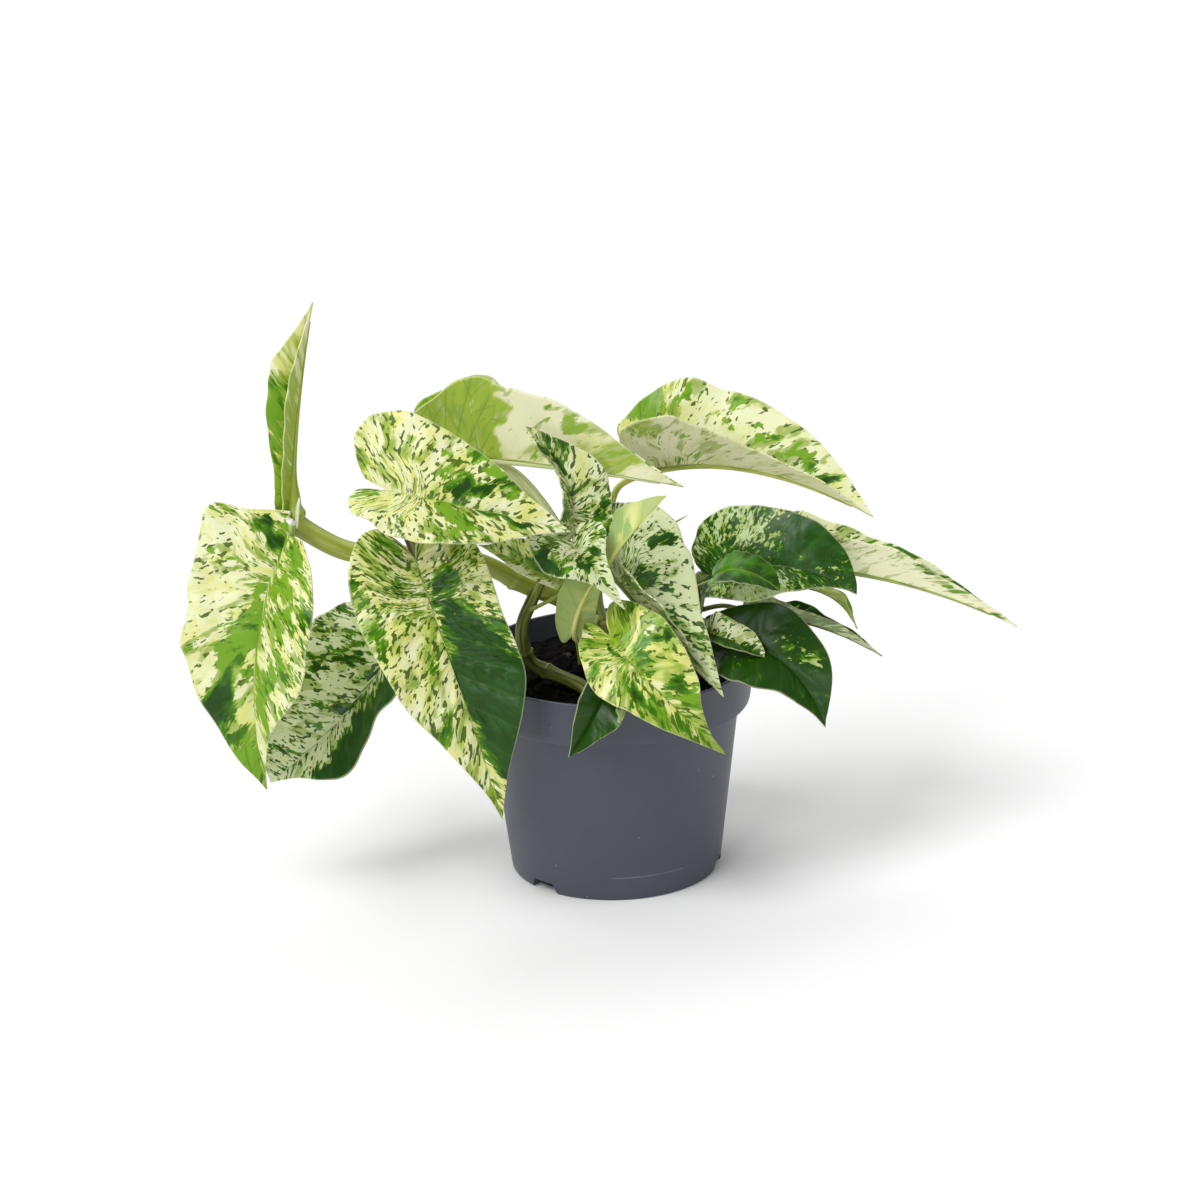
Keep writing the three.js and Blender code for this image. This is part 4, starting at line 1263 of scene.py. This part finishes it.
@dataclass
class Pot:
    """The grower's pot: a tapered thin wall, a rim band, a flat foot and three notches."""

    height: float = 94.0
    rim_radius: float = 60.0
    rim_band: float = 18.0
    top_radius: float = 54.0
    base_radius: float = 45.5
    wall: float = 1.2
    foot: float = 1.6
    notch_angles: tuple[float, ...] = (-134.0, -14.0, 106.0)
    notch_width: float = 13.0
    notch_height: float = 4.5
    notch_depth: float = 7.0
    notch_lean: float = 1.2
    drain_radius: float = 2.2
    drain_inset: float = 3.4
    sides: int = 180

    def profile(self) -> Array:
        """The wall's outline from the axis below round to the axis inside, with rounded edges."""
        band = self.height - self.rim_band
        rim, top, base = self.rim_radius, self.top_radius, self.base_radius
        # Radius, height and fillet of each corner
        corners = [
            (0, 0, 0), (base - 0.6, 0, 1.4), (top - 0.1, band - 2.6, 0.9),
            (rim - 1.5, band - 1.1, 1.1), (rim - 0.9, band + 2.0, 1.0),
            (rim - 0.12, self.height - 2.2, 0.5), (rim, self.height - 1.0, 0.4),
            (rim - 0.1, self.height, 0.45), (rim - 1.55, self.height, 0.45),
            (rim - self.wall - 0.95, band + 1.5, 1.0), (top - self.wall, band, 1.0),
            (base - self.wall, self.foot + 0.3, 1.5), (base - self.wall - 1.6, self.foot, 0.6),
            (0, self.foot, 0)]
        points = [np.array(corners[0][:2])]
        for before, (r, z, fillet), after in zip(corners, corners[1:], corners[2:]):
            here = np.array((r, z))
            ends = []
            for other in (before, after):
                way = np.array(other[:2]) - here
                length = np.linalg.norm(way)
                ends.append(here + way / length * min(fillet, length * 0.45))
            for t in np.linspace(0, 1, 5):
                points.append((1 - t) ** 2 * ends[0] + 2 * t * (1 - t) * here + t * t * ends[1])
        return np.array([*points, corners[-1][:2]])

    def turned(self, name: str, profile: Array) -> Object:
        """Sweeps a profile round the axis.

        Args:
            name: The object's name.
            profile: Radius and height, one pair a row, from the axis to the axis.

        Returns:
            The closed mesh object.
        """
        turn = np.linspace(0, ROUND_TURN, self.sides + 1)
        places = stacked(profile[:, :1] * np.cos(turn), profile[:, :1] * np.sin(turn), profile[:, 1:])
        return Grid(name, places).build(closed=True)

    def notch(self, angle: float, margin: float) -> Object:
        """A block across the foot at a notch, grown by a margin, with sides that lean in."""
        inner = self.base_radius - self.notch_depth - margin
        outer = self.base_radius + 6
        bpy.ops.object.select_all(action="DESELECT")
        bpy.ops.mesh.primitive_cube_add(size=1)
        block = bpy.context.object
        for corner in block.data.vertices:
            high = corner.co.z > 0
            half = self.notch_width / 2 + (-self.notch_lean if high else self.notch_lean) + margin
            corner.co = Vector((outer if corner.co.x > 0 else inner,
                                half if corner.co.y > 0 else -half,
                                self.notch_height + margin if high else -1)) * MM
        block.data.transform(Matrix.Rotation(math.radians(angle), 4, "Z"))
        return block

    def build(self) -> Object:
        """Makes the pot, with the step in its foot and the drain hole at each notch."""
        pot = self.turned("grower_pot", self.profile())
        for angle in self.notch_angles:
            roof = self.notch(angle, self.wall)
            core = self.turned("foot_core", np.array([
                (0, 0.8), (self.base_radius - 0.9, 0.8), (self.base_radius + 0.4, 12), (0, 12)]))
            self.combine(roof, core, "INTERSECT")
            self.combine(pot, roof, "UNION")
            self.combine(pot, self.notch(angle, 0), "DIFFERENCE")
            bpy.ops.object.select_all(action="DESELECT")
            bpy.ops.mesh.primitive_cylinder_add(
                vertices=28, radius=self.drain_radius * MM, depth=6 * MM,
                location=((self.base_radius - self.notch_depth + self.drain_inset) * MM, 0,
                          (self.notch_height + 1) * MM))
            drain = bpy.context.object
            drain.data.transform(Matrix.Translation(drain.location))
            drain.location = (0, 0, 0)
            drain.data.transform(Matrix.Rotation(math.radians(angle), 4, "Z"))
            self.combine(pot, drain, "DIFFERENCE")
        bpy.context.view_layer.objects.active = pot
        pot.select_set(True)
        bpy.ops.object.shade_smooth_by_angle(angle=math.radians(35))
        return finish_piece(pot, MouldedPolypropylene().material(), "pot", "pot")

    @staticmethod
    def combine(piece: Object, other: Object, how: str) -> None:
        """Adds, takes away or keeps what another object covers, which is then removed."""
        apply_modifier(piece, "BOOLEAN", {"object": other, "operation": how, "solver": "EXACT"})
        bpy.data.objects.remove(other, do_unlink=True)


@dataclass
class Soil:
    """The potting mix: a filled body with a lumpy top, and loose crumbs and chips on it."""

    height: float = 85.0
    lump: float = 1.4
    relief: float = 0.9
    relief_scale: float = 0.22
    gap: float = 0.3
    crumbs: int = 620
    least_crumb: float = 0.5
    crumb_spread: float = 1.6
    grey_share: float = 0.015
    grey_tint: float = 0.75
    brown_tint: float = 0.08
    sides: int = 168
    rings: int = 64

    def lumps(self, x: Array, y: Array) -> Array:
        """The broad lumps of the top, as in the part's source."""
        shape = (np.sin(x * 0.31 + 1.3) * np.cos(y * 0.27 + 0.4)
                 + 0.6 * np.sin(x * 0.63 + y * 0.41) + 0.4 * np.cos(y * 0.83 - x * 0.37))
        return self.height + self.lump * 0.6 * shape

    def top_height(self, x: float, y: float) -> float:
        """The height of the crumbly top at a place, in millimetres."""
        scale = self.relief_scale
        fine = noise.fractal(Vector((x * scale, y * scale, 3.1)), 0.8, 2.1, 4)
        return float(self.lumps(np.array(x), np.array(y))) + self.relief * fine

    def build(self, pot: Pot) -> Object:
        """Makes the body of the mix inside the pot.

        Args:
            pot: The pot that holds it.

        Returns:
            The closed mesh object.
        """
        band = pot.height - pot.rim_band
        slope = (pot.top_radius - pot.base_radius) / (band - 4.5)
        low = pot.foot + 1.5 + self.gap
        # Radius and height up the inside of the wall
        walls = [(0.0, pot.foot + self.gap),
                 (pot.base_radius - pot.wall - 1.6 - self.gap, pot.foot + self.gap),
                 (pot.base_radius - pot.wall - 2 * self.gap + slope * (low - 2), low),
                 (pot.top_radius - pot.wall - 2 * self.gap, band),
                 (pot.top_radius - pot.wall - self.gap + 1.5, band + 1.5)]
        edge = walls[-1][0] + 0.8
        turn = np.linspace(0, ROUND_TURN, self.sides + 1)
        rows = [stacked(r * np.cos(turn), r * np.sin(turn), z) for r, z in walls]
        for i in range(self.rings, -1, -1):
            r = edge * i / self.rings
            x, y = r * np.cos(turn), r * np.sin(turn)
            rows.append(stacked(x, y, [self.top_height(*place) for place in zip(x, y)]))
        piece = Grid("potting_mix", np.stack(rows)).build(closed=True)
        return finish_piece(piece, PottingMix().material(), "soil", "soil")

    def build_crumbs(self, pot: Pot) -> Object:
        """Scatters crumbs and bark chips over the top, half sunk in it.

        Args:
            pot: The pot that holds them.

        Returns:
            One mesh object with all the crumbs.
        """
        draw = np.random.default_rng(11)
        bpy.ops.object.select_all(action="DESELECT")
        bpy.ops.mesh.primitive_ico_sphere_add(subdivisions=2, radius=1)
        crumbs = bpy.context.object
        crumbs.name = crumbs.data.name = "soil_crumbs"
        mesh = crumbs.data
        ball = np.array([v.co[:] for v in mesh.vertices])
        faces = np.array([p.vertices[:] for p in mesh.polygons])
        points, corners, tints = [], [], []
        reach = pot.top_radius - pot.wall + 1.0
        for i in range(self.crumbs):
            r, turn = reach * math.sqrt(draw.random()), draw.random() * 2 * math.pi
            x, y = r * math.cos(turn), r * math.sin(turn)
            size = self.least_crumb + self.crumb_spread * draw.random() ** 2.2
            stretch = np.array((1 + 0.9 * draw.random(), 0.8, 0.45 + 0.3 * draw.random())) * size
            rough = 1 + 0.28 * draw.standard_normal(len(ball))[:, None]
            spin = Matrix.Rotation(draw.random() * 6.28, 3, "Z") @ Matrix.Rotation(
                draw.normal() * 0.5, 3, "X")
            shape = (ball * rough * stretch) @ np.array(spin).T
            points.append(shape + np.array((x, y, self.top_height(x, y) + 0.15 * size)))
            corners.append(faces + i * len(ball))
            tint = (self.grey_tint if draw.random() < self.grey_share
                    else self.brown_tint * draw.random() ** 3)
            tints.append(np.full(len(ball), tint))
        mesh.clear_geometry()
        mesh.from_pydata((np.vstack(points) * MM).tolist(), [], np.vstack(corners).tolist())
        layer = mesh.attributes.new("tint", "FLOAT", "POINT")
        layer.data.foreach_set("value", np.concatenate(tints))
        return finish_piece(crumbs, bpy.data.materials["peat_and_bark_mix"], "soil")


# The plant


STEMS = (
    Stem("stem_left",
         ((-10, 14, 72), (-12, 12, 98), (-18, 5, 116), (-34, -3, 127), (-57, -11, 142),
          (-84, -17, 147), (-109, -23, 152), (-133, -27, 168)),
         (3.6, 4.4), (0.42, 0.98),
         StemSkin("runner_skin", "#9ba544", "#b3bd6a", "#86952c", streak_mm=7.0), ridge=0.006),
    Stem("stem_front",
         ((-6, -26, 74), (-8, -25, 84), (-13, -21, 88), (-19, -15, 89), (-28, -9, 91),
          (-34, -9, 95), (-37, -10, 102), (-37, -11, 113), (-33, -8, 122),
          (-29, -2, 129)),
         (3.2, 2.6), (0.44, 0.6),
         StemSkin("old_cutting_skin", "#666f2c", "#8a9244", "#3f4520")),
    Stem("stem_middle", ((-2, 2, 72), (-3, 2, 100), (-6, 2, 120), (-5, 3, 138)),
         (3.4, 2.8), (0.55, 0.9),
         StemSkin("middle_stem_skin", "#98a656", "#b9c27c", "#6d7c38"),
         shoot=((-5, 3, 136), (5, 10, 141), (20, 16, 143), (34, 20, 149))),
    Stem("stem_right", ((31, 4, 72), (33, 4, 98), (37, 3, 115), (39, 3, 128)),
         (3.2, 2.6), (0.6, 0.9),
         StemSkin("right_stem_skin", "#7c8c44", "#a0ad66", "#56652c")),
)

LEAVES = (
    Leaf("left_upright", (-131, -27, 174), (-126.5, -22, 214), (-118, -16, 257),
         (-0.77, -0.64, 0), (14, 10), (72, 72), (20, 20), ((-129, -27, 165),),
         Markings(-60, 75, 30, 10, (
             Patch(-60, 42, 50, 26, 100), Patch(0, 90, 120, 30, -30, -30), Patch(-80, 64, 30, 12, 0, -40),
             Patch(50, 30, 50, 30, -40, 10), Patch(30, 2, 150, 20, -80, 40),
             Patch(-30, 2, 150, 20, -100, 40))),
         outline=(UPRIGHT_LEFT, UPRIGHT_RIGHT), thick=2.2, sheath=2.4, wave=0.5, ragged=0.01,
         quilt=0.12, buckle=0.5, thin=True, tone=StalkTone.LIME, slot="leaf_pale"),
    Leaf("left_hanging", (-131, -34, 163), (-147, -44, 111), (-146, -38, 52),
         (-0.45, -1, 0.2), (32, 33), (28, 28), (10, 10), ((-129, -27, 165), (-130, -32, 167)),
         Markings(-32, 45, 25, 60, (
             Patch(75, 20, 60, 30, -30, -10), Patch(25, 2, 25, 3.5, 160, 0, 40),
             Patch(8, 28, 8, 12, 70, 30, -20), Patch(28, 42, 24, 10, 88), Patch(42, 56, 16, 7, 80, 0, 50),
             Patch(46, 66, 16, 9, 110, 0, 80), Patch(30, 76, 14, 7, 80, 0, 40), Patch(14, 62, 8, 6, -40),
             Patch(15, 86, 20, 10, 90, 60, -30), Patch(-25, 8, 18, 6, 90), Patch(-55, 27, 14, 5, 90),
             Patch(-40, 33, 12, 6, 90), Patch(-85, 30, 15, 16, 35, 0, 50), Patch(-50, 45, 8, 5, 80),
             Patch(-30, 52, 10, 6, 90), Patch(-25, 19, 14, 5, 70, 60, -30),
             Patch(-20, 62, 14, 8, 80, 70, -30), Patch(-15, 40, 7, 10, -50))),
         lobe=(1, 0.5), outline=(EGG, DRAPED)),
    Leaf("left_behind", (-86, -2, 115), (-110, -12, 79), (-146, -18, 47),
         (-0.39, -0.57, 0.62), (31, 34), (28, 28), (12, 10),
         ((-29, -6, 91), (-50, 4, 103), (-72, 4, 114)),
         Markings(-28, 15, 85, 64, (Patch(-75, 50, 45, 45, 180, 0, 10), Patch(85, 12, 20, 6, 50))),
         twist=-40, outline=(BEHIND_LEFT, BEHIND_RIGHT), tone=StalkTone.YELLOW),
    Leaf("front_left", (-79, -46, 155), (-63, -62, 107), (-47, -58, 44),
         (0.1, -0.94, 0.3), (31, 30), (16, 16), (8, 8),
         ((-74, -15, 147), (-84, -28, 160), (-83, -38, 163)),
         Markings(-56, 50, 55, 80, (
             Patch(-17, 48, 22, 35, 190, 0, 35), Patch(-45, 60, 30, 38, 190, 0, 35),
             Patch(-78, 62, 30, 35, 190, 0, 35), Patch(-28, 11, 14, 4.5, 112),
             Patch(30, 10, 18, 6, 45, 0, 30), Patch(83, 23, 10, 8, 90), Patch(25, 30, 15, 12, 40, 20),
             Patch(40, 60, 12, 8, 80), Patch(5, 93, 30, 8, -30, 60), Patch(35, -8, 20, 4, 90),
             Patch(100, 6, 12, 7, 70))),
         outline=(FRONT_LEFT_LEFT, FRONT_LEFT_RIGHT), quilt=0.9, crinkle=0.9, grain=1.15,
         tone=StalkTone.BROWN),
    Leaf("upper_left", (-89, -46, 185), (-56, -50, 178), (-15, -48, 166),
         (0, -0.7, 0.71), (37, 30), (25, 25), (8, 8),
         ((-53, -9, 139), (-66, -22, 168), (-80, -40, 183)),
         Markings(-52, 45, 35, 80, (
             Patch(-50, -2, 70, 20, -45), Patch(50, -5, 70, 18, -30), Patch(-15, 35, 13, 7, 104, 0, 40),
             Patch(-26, 46, 13, 7, 104, 0, 40), Patch(-37, 57, 12, 6, 104, 0, 40),
             Patch(-57, 45, 13, 8, 88), Patch(-50, 57, 8, 5, 80, 0, -40),
             Patch(-23, 63, 10, 6, 88, 0, 30), Patch(-60, 27, 10, 5, 70), Patch(-56, 16, 6, 3, 80),
             Patch(-50, -2, 15, 5, 30, 0, 40), Patch(-25, -17, 20, 4, 40, 50),
             Patch(12, 33, 12, 7, 104, 0, -30), Patch(35, 39, 20, 7, 104, 0, -30),
             Patch(65, 41, 16, 4, 88, 0, -30), Patch(7, 58, 7, 12, 104, 0, 60),
             Patch(7, 77, 7, 10, 104, 0, 60), Patch(22, -12, 20, 7, 90), Patch(60, 7, 12, 5, 60),
             Patch(0, 95, 40, 10, -40, -30))),
         lobe=(2, 1.5), outline=(UPPER_LEFT_LEFT, UPPER_LEFT_RIGHT), grain=1.1,
         tone=StalkTone.GREEN),
    Leaf("top_middle", (-69, 2, 185), (-24, 2, 179), (32, -2, 169),
         (0, 0.1, 1), (25, 36), (70, 84), (8, 8),
         ((-6, 2, 122), (-18, 5, 144), (-29, 6, 162), (-40, 6, 175), (-56, 4, 183)),
         Markings(-45, 20, 10, 40, (
             Patch(50, 0, 150, 21, -30, 250), Patch(-50, 0, 150, 21, -30, 250),
             Patch(50, 33, 100, 9, -50, -40), Patch(50, 52, 14, 7, 112), Patch(47, 37, 5, 4, 80),
             Patch(66, 43, 5, 3.5, 90), Patch(30, 72, 35, 20, 10, 60), Patch(15, 36, 12, 7, 35, 30))),
         outline=(TOP_MIDDLE_LEFT, TOP_MIDDLE_RIGHT), thick=1.8, thin=True,
         tone=StalkTone.PALE, slot="leaf_pale"),
    Leaf("top_right", (15, 36, 164), (61, 33, 165), (113, 20, 146),
         (0, -0.13, 0.99), (39, 37), (63, 63), (10, 10),
         ((-5, 3, 132), (1, 24, 151), (5, 31, 159)),
         Markings(-70, 30, 20, 50, (
             Patch(-75, 6, 30, 10, 110, 80, -40), Patch(-60, 19, 8, 3, 50),
             Patch(-78, 26, 12, 6, 60, 0, 50), Patch(-55, 28, 7, 2, 96, 30),
             Patch(-66, 35, 7, 2.5, 96, 30), Patch(-42, 31, 8, 2, 88, 30), Patch(-38, 37, 5, 3, 88, 30),
             Patch(-50, 46, 6, 2.5, 96), Patch(-36, 49, 5, 2, 88), Patch(-44, 55, 4, 2.5, 88),
             Patch(-20, 54, 5, 6, 88), Patch(-22, 66, 12, 6, 120, 0, 40),
             Patch(-17, 75, 10, 5, 120, 0, 40), Patch(90, 5, 20, 7, 60, 50), Patch(56, 15, 8, 3.5, 96),
             Patch(15, 25, 12, 20, 50, 0, 30))),
         lobe=(1, 0.6), outline=(TOP_RIGHT_LEFT, TOP_RIGHT_RIGHT), thin=True,
         tone=StalkTone.YELLOW),
    Leaf("middle_upright", (-15, -18, 155), (-17, -13, 177), (-33, -14, 201),
         (0.64, -0.72, 0.26), (20, 17), (40, 40), (10, 10), ((-5, 2, 134), (-10, -9, 146)),
         Markings(-38, 35, 75, 74, (
             Patch(-90, 50, 90, 60, 35), Patch(8, 50, 8, 16, 104, 0, 30), Patch(35, 70, 20, 10, 50),
             Patch(75, 10, 22, 14, 70))),
         outline=(UPRIGHT_MIDDLE_LEFT, UPRIGHT_MIDDLE_RIGHT), grain=1.2, quilt=0.2, wave=0.6,
         ragged=0.015),
    Leaf("middle_marbled", (-15, -34, 157), (-7, -46, 149), (6, -55, 134),
         (0.2, -0.7, 0.7), (8, 22), (45, 15), (8, 8),
         ((-5, 2, 116), (-8, -18, 138), (-13, -32, 152)),
         Markings(-30, 15, 85, 66, (
             Patch(78, 22, 20, 16, 110, 0, 10), Patch(12, 38, 12, 10, 100, 0, 10),
             Patch(-70, 30, 30, 7, 90), Patch(35, 12, 22, 14, 10, 0, -40), Patch(10, 85, 60, 25, -60))),
         lobe=(1.2, 1.2), outline=(MARBLED_MIDDLE_LEFT, MARBLED_MIDDLE_RIGHT), grain=1.3, quilt=0.2,
         wave=0.5, ragged=0.01),
    Leaf("middle_left", (-18, -16, 130), (-36, -20, 143), (-54, -26, 154),
         (-0.2, -0.75, 0.6), (14, 14), (25, 25), (8, 8), ((-34, -11, 119), (-23, -15, 126)),
         Markings(-38, 55, 50, 60, (
             Patch(25, 62, 12, 10, 88, 0, 20), Patch(10, 35, 10, 20, 60, 30),
             Patch(-30, 50, 10, 50, -50, -40))),
         outline=(MIDDLE_LEFT_LEFT, HEART), grain=1.1, quilt=0.2),
    Leaf("middle_young", (-15, -35, 118), (-4.5, -38, 143.5), (24, -38, 177),
         (0.3, 0.9, 0.1), (8, 8), (35, 35), (8, 8), ((-5, 2, 112), (-12, -22, 109)),
         Markings(-35, 96, 10, -30, (Patch(90, 90, 140, 20, 0, -25), Patch(90, 60, 25, 10, 50))),
         outline=(YOUNG_LEFT, YOUNG_RIGHT), grain=0.35, wave=0.5, quilt=0.05, buckle=0.3,
         slot="leaf_pale", tone=StalkTone.YELLOW),
    Leaf("middle_right", (-2, -16, 142), (17, -30, 121), (46, -48, 92),
         (0.62, -0.33, 0.71), (33, 19), (57, 57), (10, 10), ((-5, 2, 122), (-4, -8, 136)),
         Markings(-42, 10, 85, 66, (
             Patch(-70, 12, 20, 4.5, 128, 0, 10), Patch(-60, -10, 25, 4, 50), Patch(-30, 20, 15, 15, 50),
             Patch(-30, 42, 15, 15, 45), Patch(-20, 60, 12, 12, 45), Patch(-75, 40, 35, 30, -30),
             Patch(50, 50, 60, 50, 50, 30))),
         lobe=(2.2, 0.2), outline=(MIDDLE_RIGHT_LEFT, HEART), grain=1.3, thin=True),
    Leaf("front_middle", (0, -50, 120), (19, -66, 102), (46, -62, 72),
         (0.1, -0.85, 0.5), (21, 16), (14, 14), (8, 8),
         ((-4, 2, 98), (-2, -24, 110), (0, -44, 119)),
         Markings(-25, 60, 45, 65, (
             Patch(50, -3, 13, 4, 112), Patch(15, 10, 7, 8, 112, 0, 30), Patch(50, 37, 18, 7, 104),
             Patch(55, 52, 12, 5, 88), Patch(85, 10, 15, 7, 30), Patch(-70, -10, 14, 3, 96),
             Patch(-40, 17, 20, 3, 88), Patch(-80, 18, 15, 7, 40, 0, 40),
             Patch(-35, 48, 20, 7, 104, 0, 20), Patch(-28, 62, 12, 5, 80), Patch(10, 50, 8, 12, -60),
             Patch(0, 0, 40, 10, -10, 30))),
         lobe=(1.7, 1.5), outline=(FRONT_MIDDLE_LEFT, FRONT_MIDDLE_RIGHT), quilt=0.3,
         tone=StalkTone.YELLOW),
    Leaf("front_small", (-2, -54, 101), (-7, -64, 92), (-19, -66, 74),
         (0.3, -0.85, 0.4), (13, 13), (30, 30), (8, 8), ((-5, -26, 85), (-2, -40, 98)),
         Markings(140, 10, 100, 30, (Patch(-75, 32, 25, 16, -150),)),
         outline=(SMALL_LEFT, SMALL_RIGHT), quilt=0.2, slot="leaf_green", tone=StalkTone.OLIVE),
    Leaf("right_marbled", (42, -3, 130), (73, -15, 137), (103, -21, 126),
         (0, -0.65, 0.76), (25, 27), (29, 20), (10, 10), ((38, 3, 120), (38, -3, 128)),
         Markings(42, 10, 100, 40, (
             Patch(-75, 20, 40, 24, -50), Patch(-40, 42, 18, 10, -40), Patch(-50, 66, 60, 20, 100),
             Patch(-25, 60, 6, 12, -90), Patch(60, 40, 30, 30, -80, 50))),
         lobe=(0.6, 0.3), outline=(MARBLED_RIGHT_LEFT, MARBLED_RIGHT_RIGHT), grain=2.2,
         tone=StalkTone.OLIVE),
    Leaf("right_plain", (43, -31, 139), (55, -38, 144), (70, -40, 135),
         (0, -0.4, 0.9), (9, 9), (5, 5), (6, 6),
         ((39, 3, 124), (37, -8, 127), (38, -18, 131), (42, -27, 136)),
         Markings(170, 0, 42, 0), wave=0.4, quilt=0.15, buckle=0.3, grain=0.4,
         outline=(PLAIN_LEFT, PLAIN_RIGHT), slot="leaf_green", tone=StalkTone.GREEN),
    Leaf("far_right", (58, 14, 129), (117, 14, 121), (173, 6, 100),
         (0, 0, 1), (22, 22), (68, 68), (6, 6), ((39, 3, 126), (50, 12, 131)),
         Markings(-60, 10, 60, 50, (
             Patch(50, 62, 18, 6, 128, 0, 30), Patch(70, 56, 15, 6, 80), Patch(25, 76, 14, 9, 112),
             Patch(5, 90, 8, 6, 90), Patch(55, 40, 30, 10, 25), Patch(85, 30, 15, 8, 60),
             Patch(-60, 56, 30, 10, 80), Patch(-25, 78, 20, 10, 96))),
         outline=(FAR_LEFT, FAR_RIGHT), thin=True),
    Leaf("right_olive", (77, 8, 121), (95, 10, 114), (105, 8, 100),
         (0, 0, 1), (5, 5), (50, 50), (6, 6), ((38, 3, 120), (56, 10, 122)),
         Markings(-30, 70, 30, 50), quilt=0.1, thin=True, tone=StalkTone.OLIVE),
    Leaf("right_striped", (63, 0, 112), (91, 0, 104), (115, -2, 91),
         (0, 0, 1), (10, 10), (60, 60), (6, 6), ((37, 3, 112), (48, 3, 114)),
         Markings(0, 10, 90, 60, (Patch(-50, 50, 30, 50, 50),)),
         outline=(STRIPED_LEFT, HEART), full=(0, -0.4), grain=1.3, quilt=0.12,
         tone=StalkTone.OLIVE),
    Leaf("right_dark", (43, -15, 101), (70, -26, 100), (89, -32, 71),
         (0, -0.65, 0.76), (22, 21), (25, 25), (10, 10), ((34, 3, 100), (38, -8, 102)),
         Markings(140, 55, 95, 10, (
             Patch(-25, 45, 20, 22, -90), Patch(-50, 62, 15, 10, -90), Patch(45, 18, 25, 14, -90))),
         lobe=(0.5, 1), outline=(DARK_LEFT, DARK_RIGHT), grain=2.2, slot="leaf_green",
         tone=StalkTone.OLIVE),
    Leaf("right_inner", (38, -15, 109), (51, -25, 108), (64, -29, 102),
         (0, -0.6, 0.8), (9, 9), (40, 30), (6, 6), ((36, 3, 110), (35, -7, 111)),
         Markings(10, 10, 80, 60, (Patch(-60, 50, 60, 70, -60), Patch(60, 50, 60, 60, 120))),
         outline=(INNER_LEFT, INNER_RIGHT), grain=1.4, quilt=0.12, tone=StalkTone.OLIVE),
)


# The studio


@dataclass
class Studio:
    """A pale floor that sweeps up behind, soft light and the photograph's viewing angle."""

    target: Point = (-4.2, 0.0, 119.0)
    distance: float = 1700.0
    elevation: float = 19.6
    roll: float = -1.5
    lens: float = 120.6
    floor_side: float = 2600.0
    floor_front: float = -2400.0
    floor_back: float = 1500.0
    floor_bend: float = 900.0
    wall_height: float = 2200.0
    surround: float = 0.31

    def camera(self) -> None:
        """Places the camera."""
        bpy.ops.object.camera_add()
        camera = bpy.context.object
        camera.name = "photo_camera"
        tilt = math.radians(self.elevation)
        away = Vector((0, -math.cos(tilt), math.sin(tilt))) * self.distance
        camera.location = (Vector(self.target) + away) * MM
        camera.rotation_euler = (
            Matrix.Rotation(math.radians(90 - self.elevation), 4, "X")
            @ Matrix.Rotation(math.radians(self.roll), 4, "Z")).to_euler()
        camera.data.lens = self.lens
        camera.data.sensor_width = 36.0
        camera.data.clip_start = 0.05
        bpy.context.scene.camera = camera

    def floor(self) -> None:
        """Makes the floor and the backdrop as one pale sweep."""
        side = np.linspace(-self.floor_side, self.floor_side, 9)
        run = np.linspace(self.floor_front, self.floor_back, 40)
        turn = np.linspace(0, math.pi / 2, 24)[1:]
        wall = np.linspace(200, self.wall_height, 8)
        bend, back = self.floor_bend, self.floor_back
        depth = np.concatenate([run, back + bend * np.sin(turn), np.full(len(wall), back + bend)])
        rise = np.concatenate([np.zeros(len(run)), bend * (1 - np.cos(turn)), bend + wall])
        places = stacked(side[None, :], depth[:, None], rise[:, None])
        floor = Grid("studio_floor", places).build(closed=False)
        material, _, shader = new_material("matt_white_paper")
        shader.inputs["Base Color"].default_value = linear("#f4f4f4")
        shader.inputs["Roughness"].default_value = 0.9
        floor.data.materials.append(material)

    def lights(self) -> None:
        """Sets a wide soft key from the upper left, a fill from the right, a light from behind, a
        small front light that the waxy leaves reflect, a low one and a bright surround."""
        for name, place, spread, power in (
                ("key_light", (-700, -600, 1300), 30.0, 1.8),
                ("fill_light", (550, -350, 1200), 50.0, 0.3),
                ("back_light", (-450, 700, 1300), 38.0, 0.8),
                ("front_light", (-700, -1500, 1000), 8.0, 0.36),
                ("low_light", (-250, -1700, 150), 12.0, 0.36)):
            aim = (-Vector(place)).to_track_quat("-Z", "Y").to_euler()
            bpy.ops.object.light_add(type="SUN", location=Vector(place) * MM, rotation=aim)
            light = bpy.context.object
            light.name = name
            light.data.angle = math.radians(spread)
            light.data.energy = power
        world = bpy.data.worlds.new("studio_surround")
        world.use_nodes = True
        background = world.node_tree.nodes["Background"]
        background.inputs[0].default_value = linear("#ffffff")
        background.inputs[1].default_value = self.surround
        scene = bpy.context.scene
        scene.world = world
        scene.view_settings.view_transform = "Standard"
        scene.view_settings.look = "None"

    def build(self) -> None:
        """Sets up the whole studio."""
        self.camera()
        self.floor()
        self.lights()


def main() -> None:
    """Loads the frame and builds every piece."""
    logging.basicConfig(level=logging.INFO, format="%(name)s %(message)s")
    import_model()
    Studio().build()
    pot = Pot()
    pot.build()
    soil = Soil()
    soil.build(pot)
    soil.build_crumbs(pot)
    for stem in STEMS:
        stem.build()
        if stem.shoot:
            stem.build_shoot()
    for trace in NODE_TRACES:
        trace.build()
    for skin in (UPPER_SKIN, UNDER_SKIN, BACKLIT_SKIN):
        skin.material()
    for i, leaf in enumerate(LEAVES):
        leaf.seed = i + 1
        leaf.build_blade()
        leaf.build_stalk()


if __name__ == "__main__":
    main()
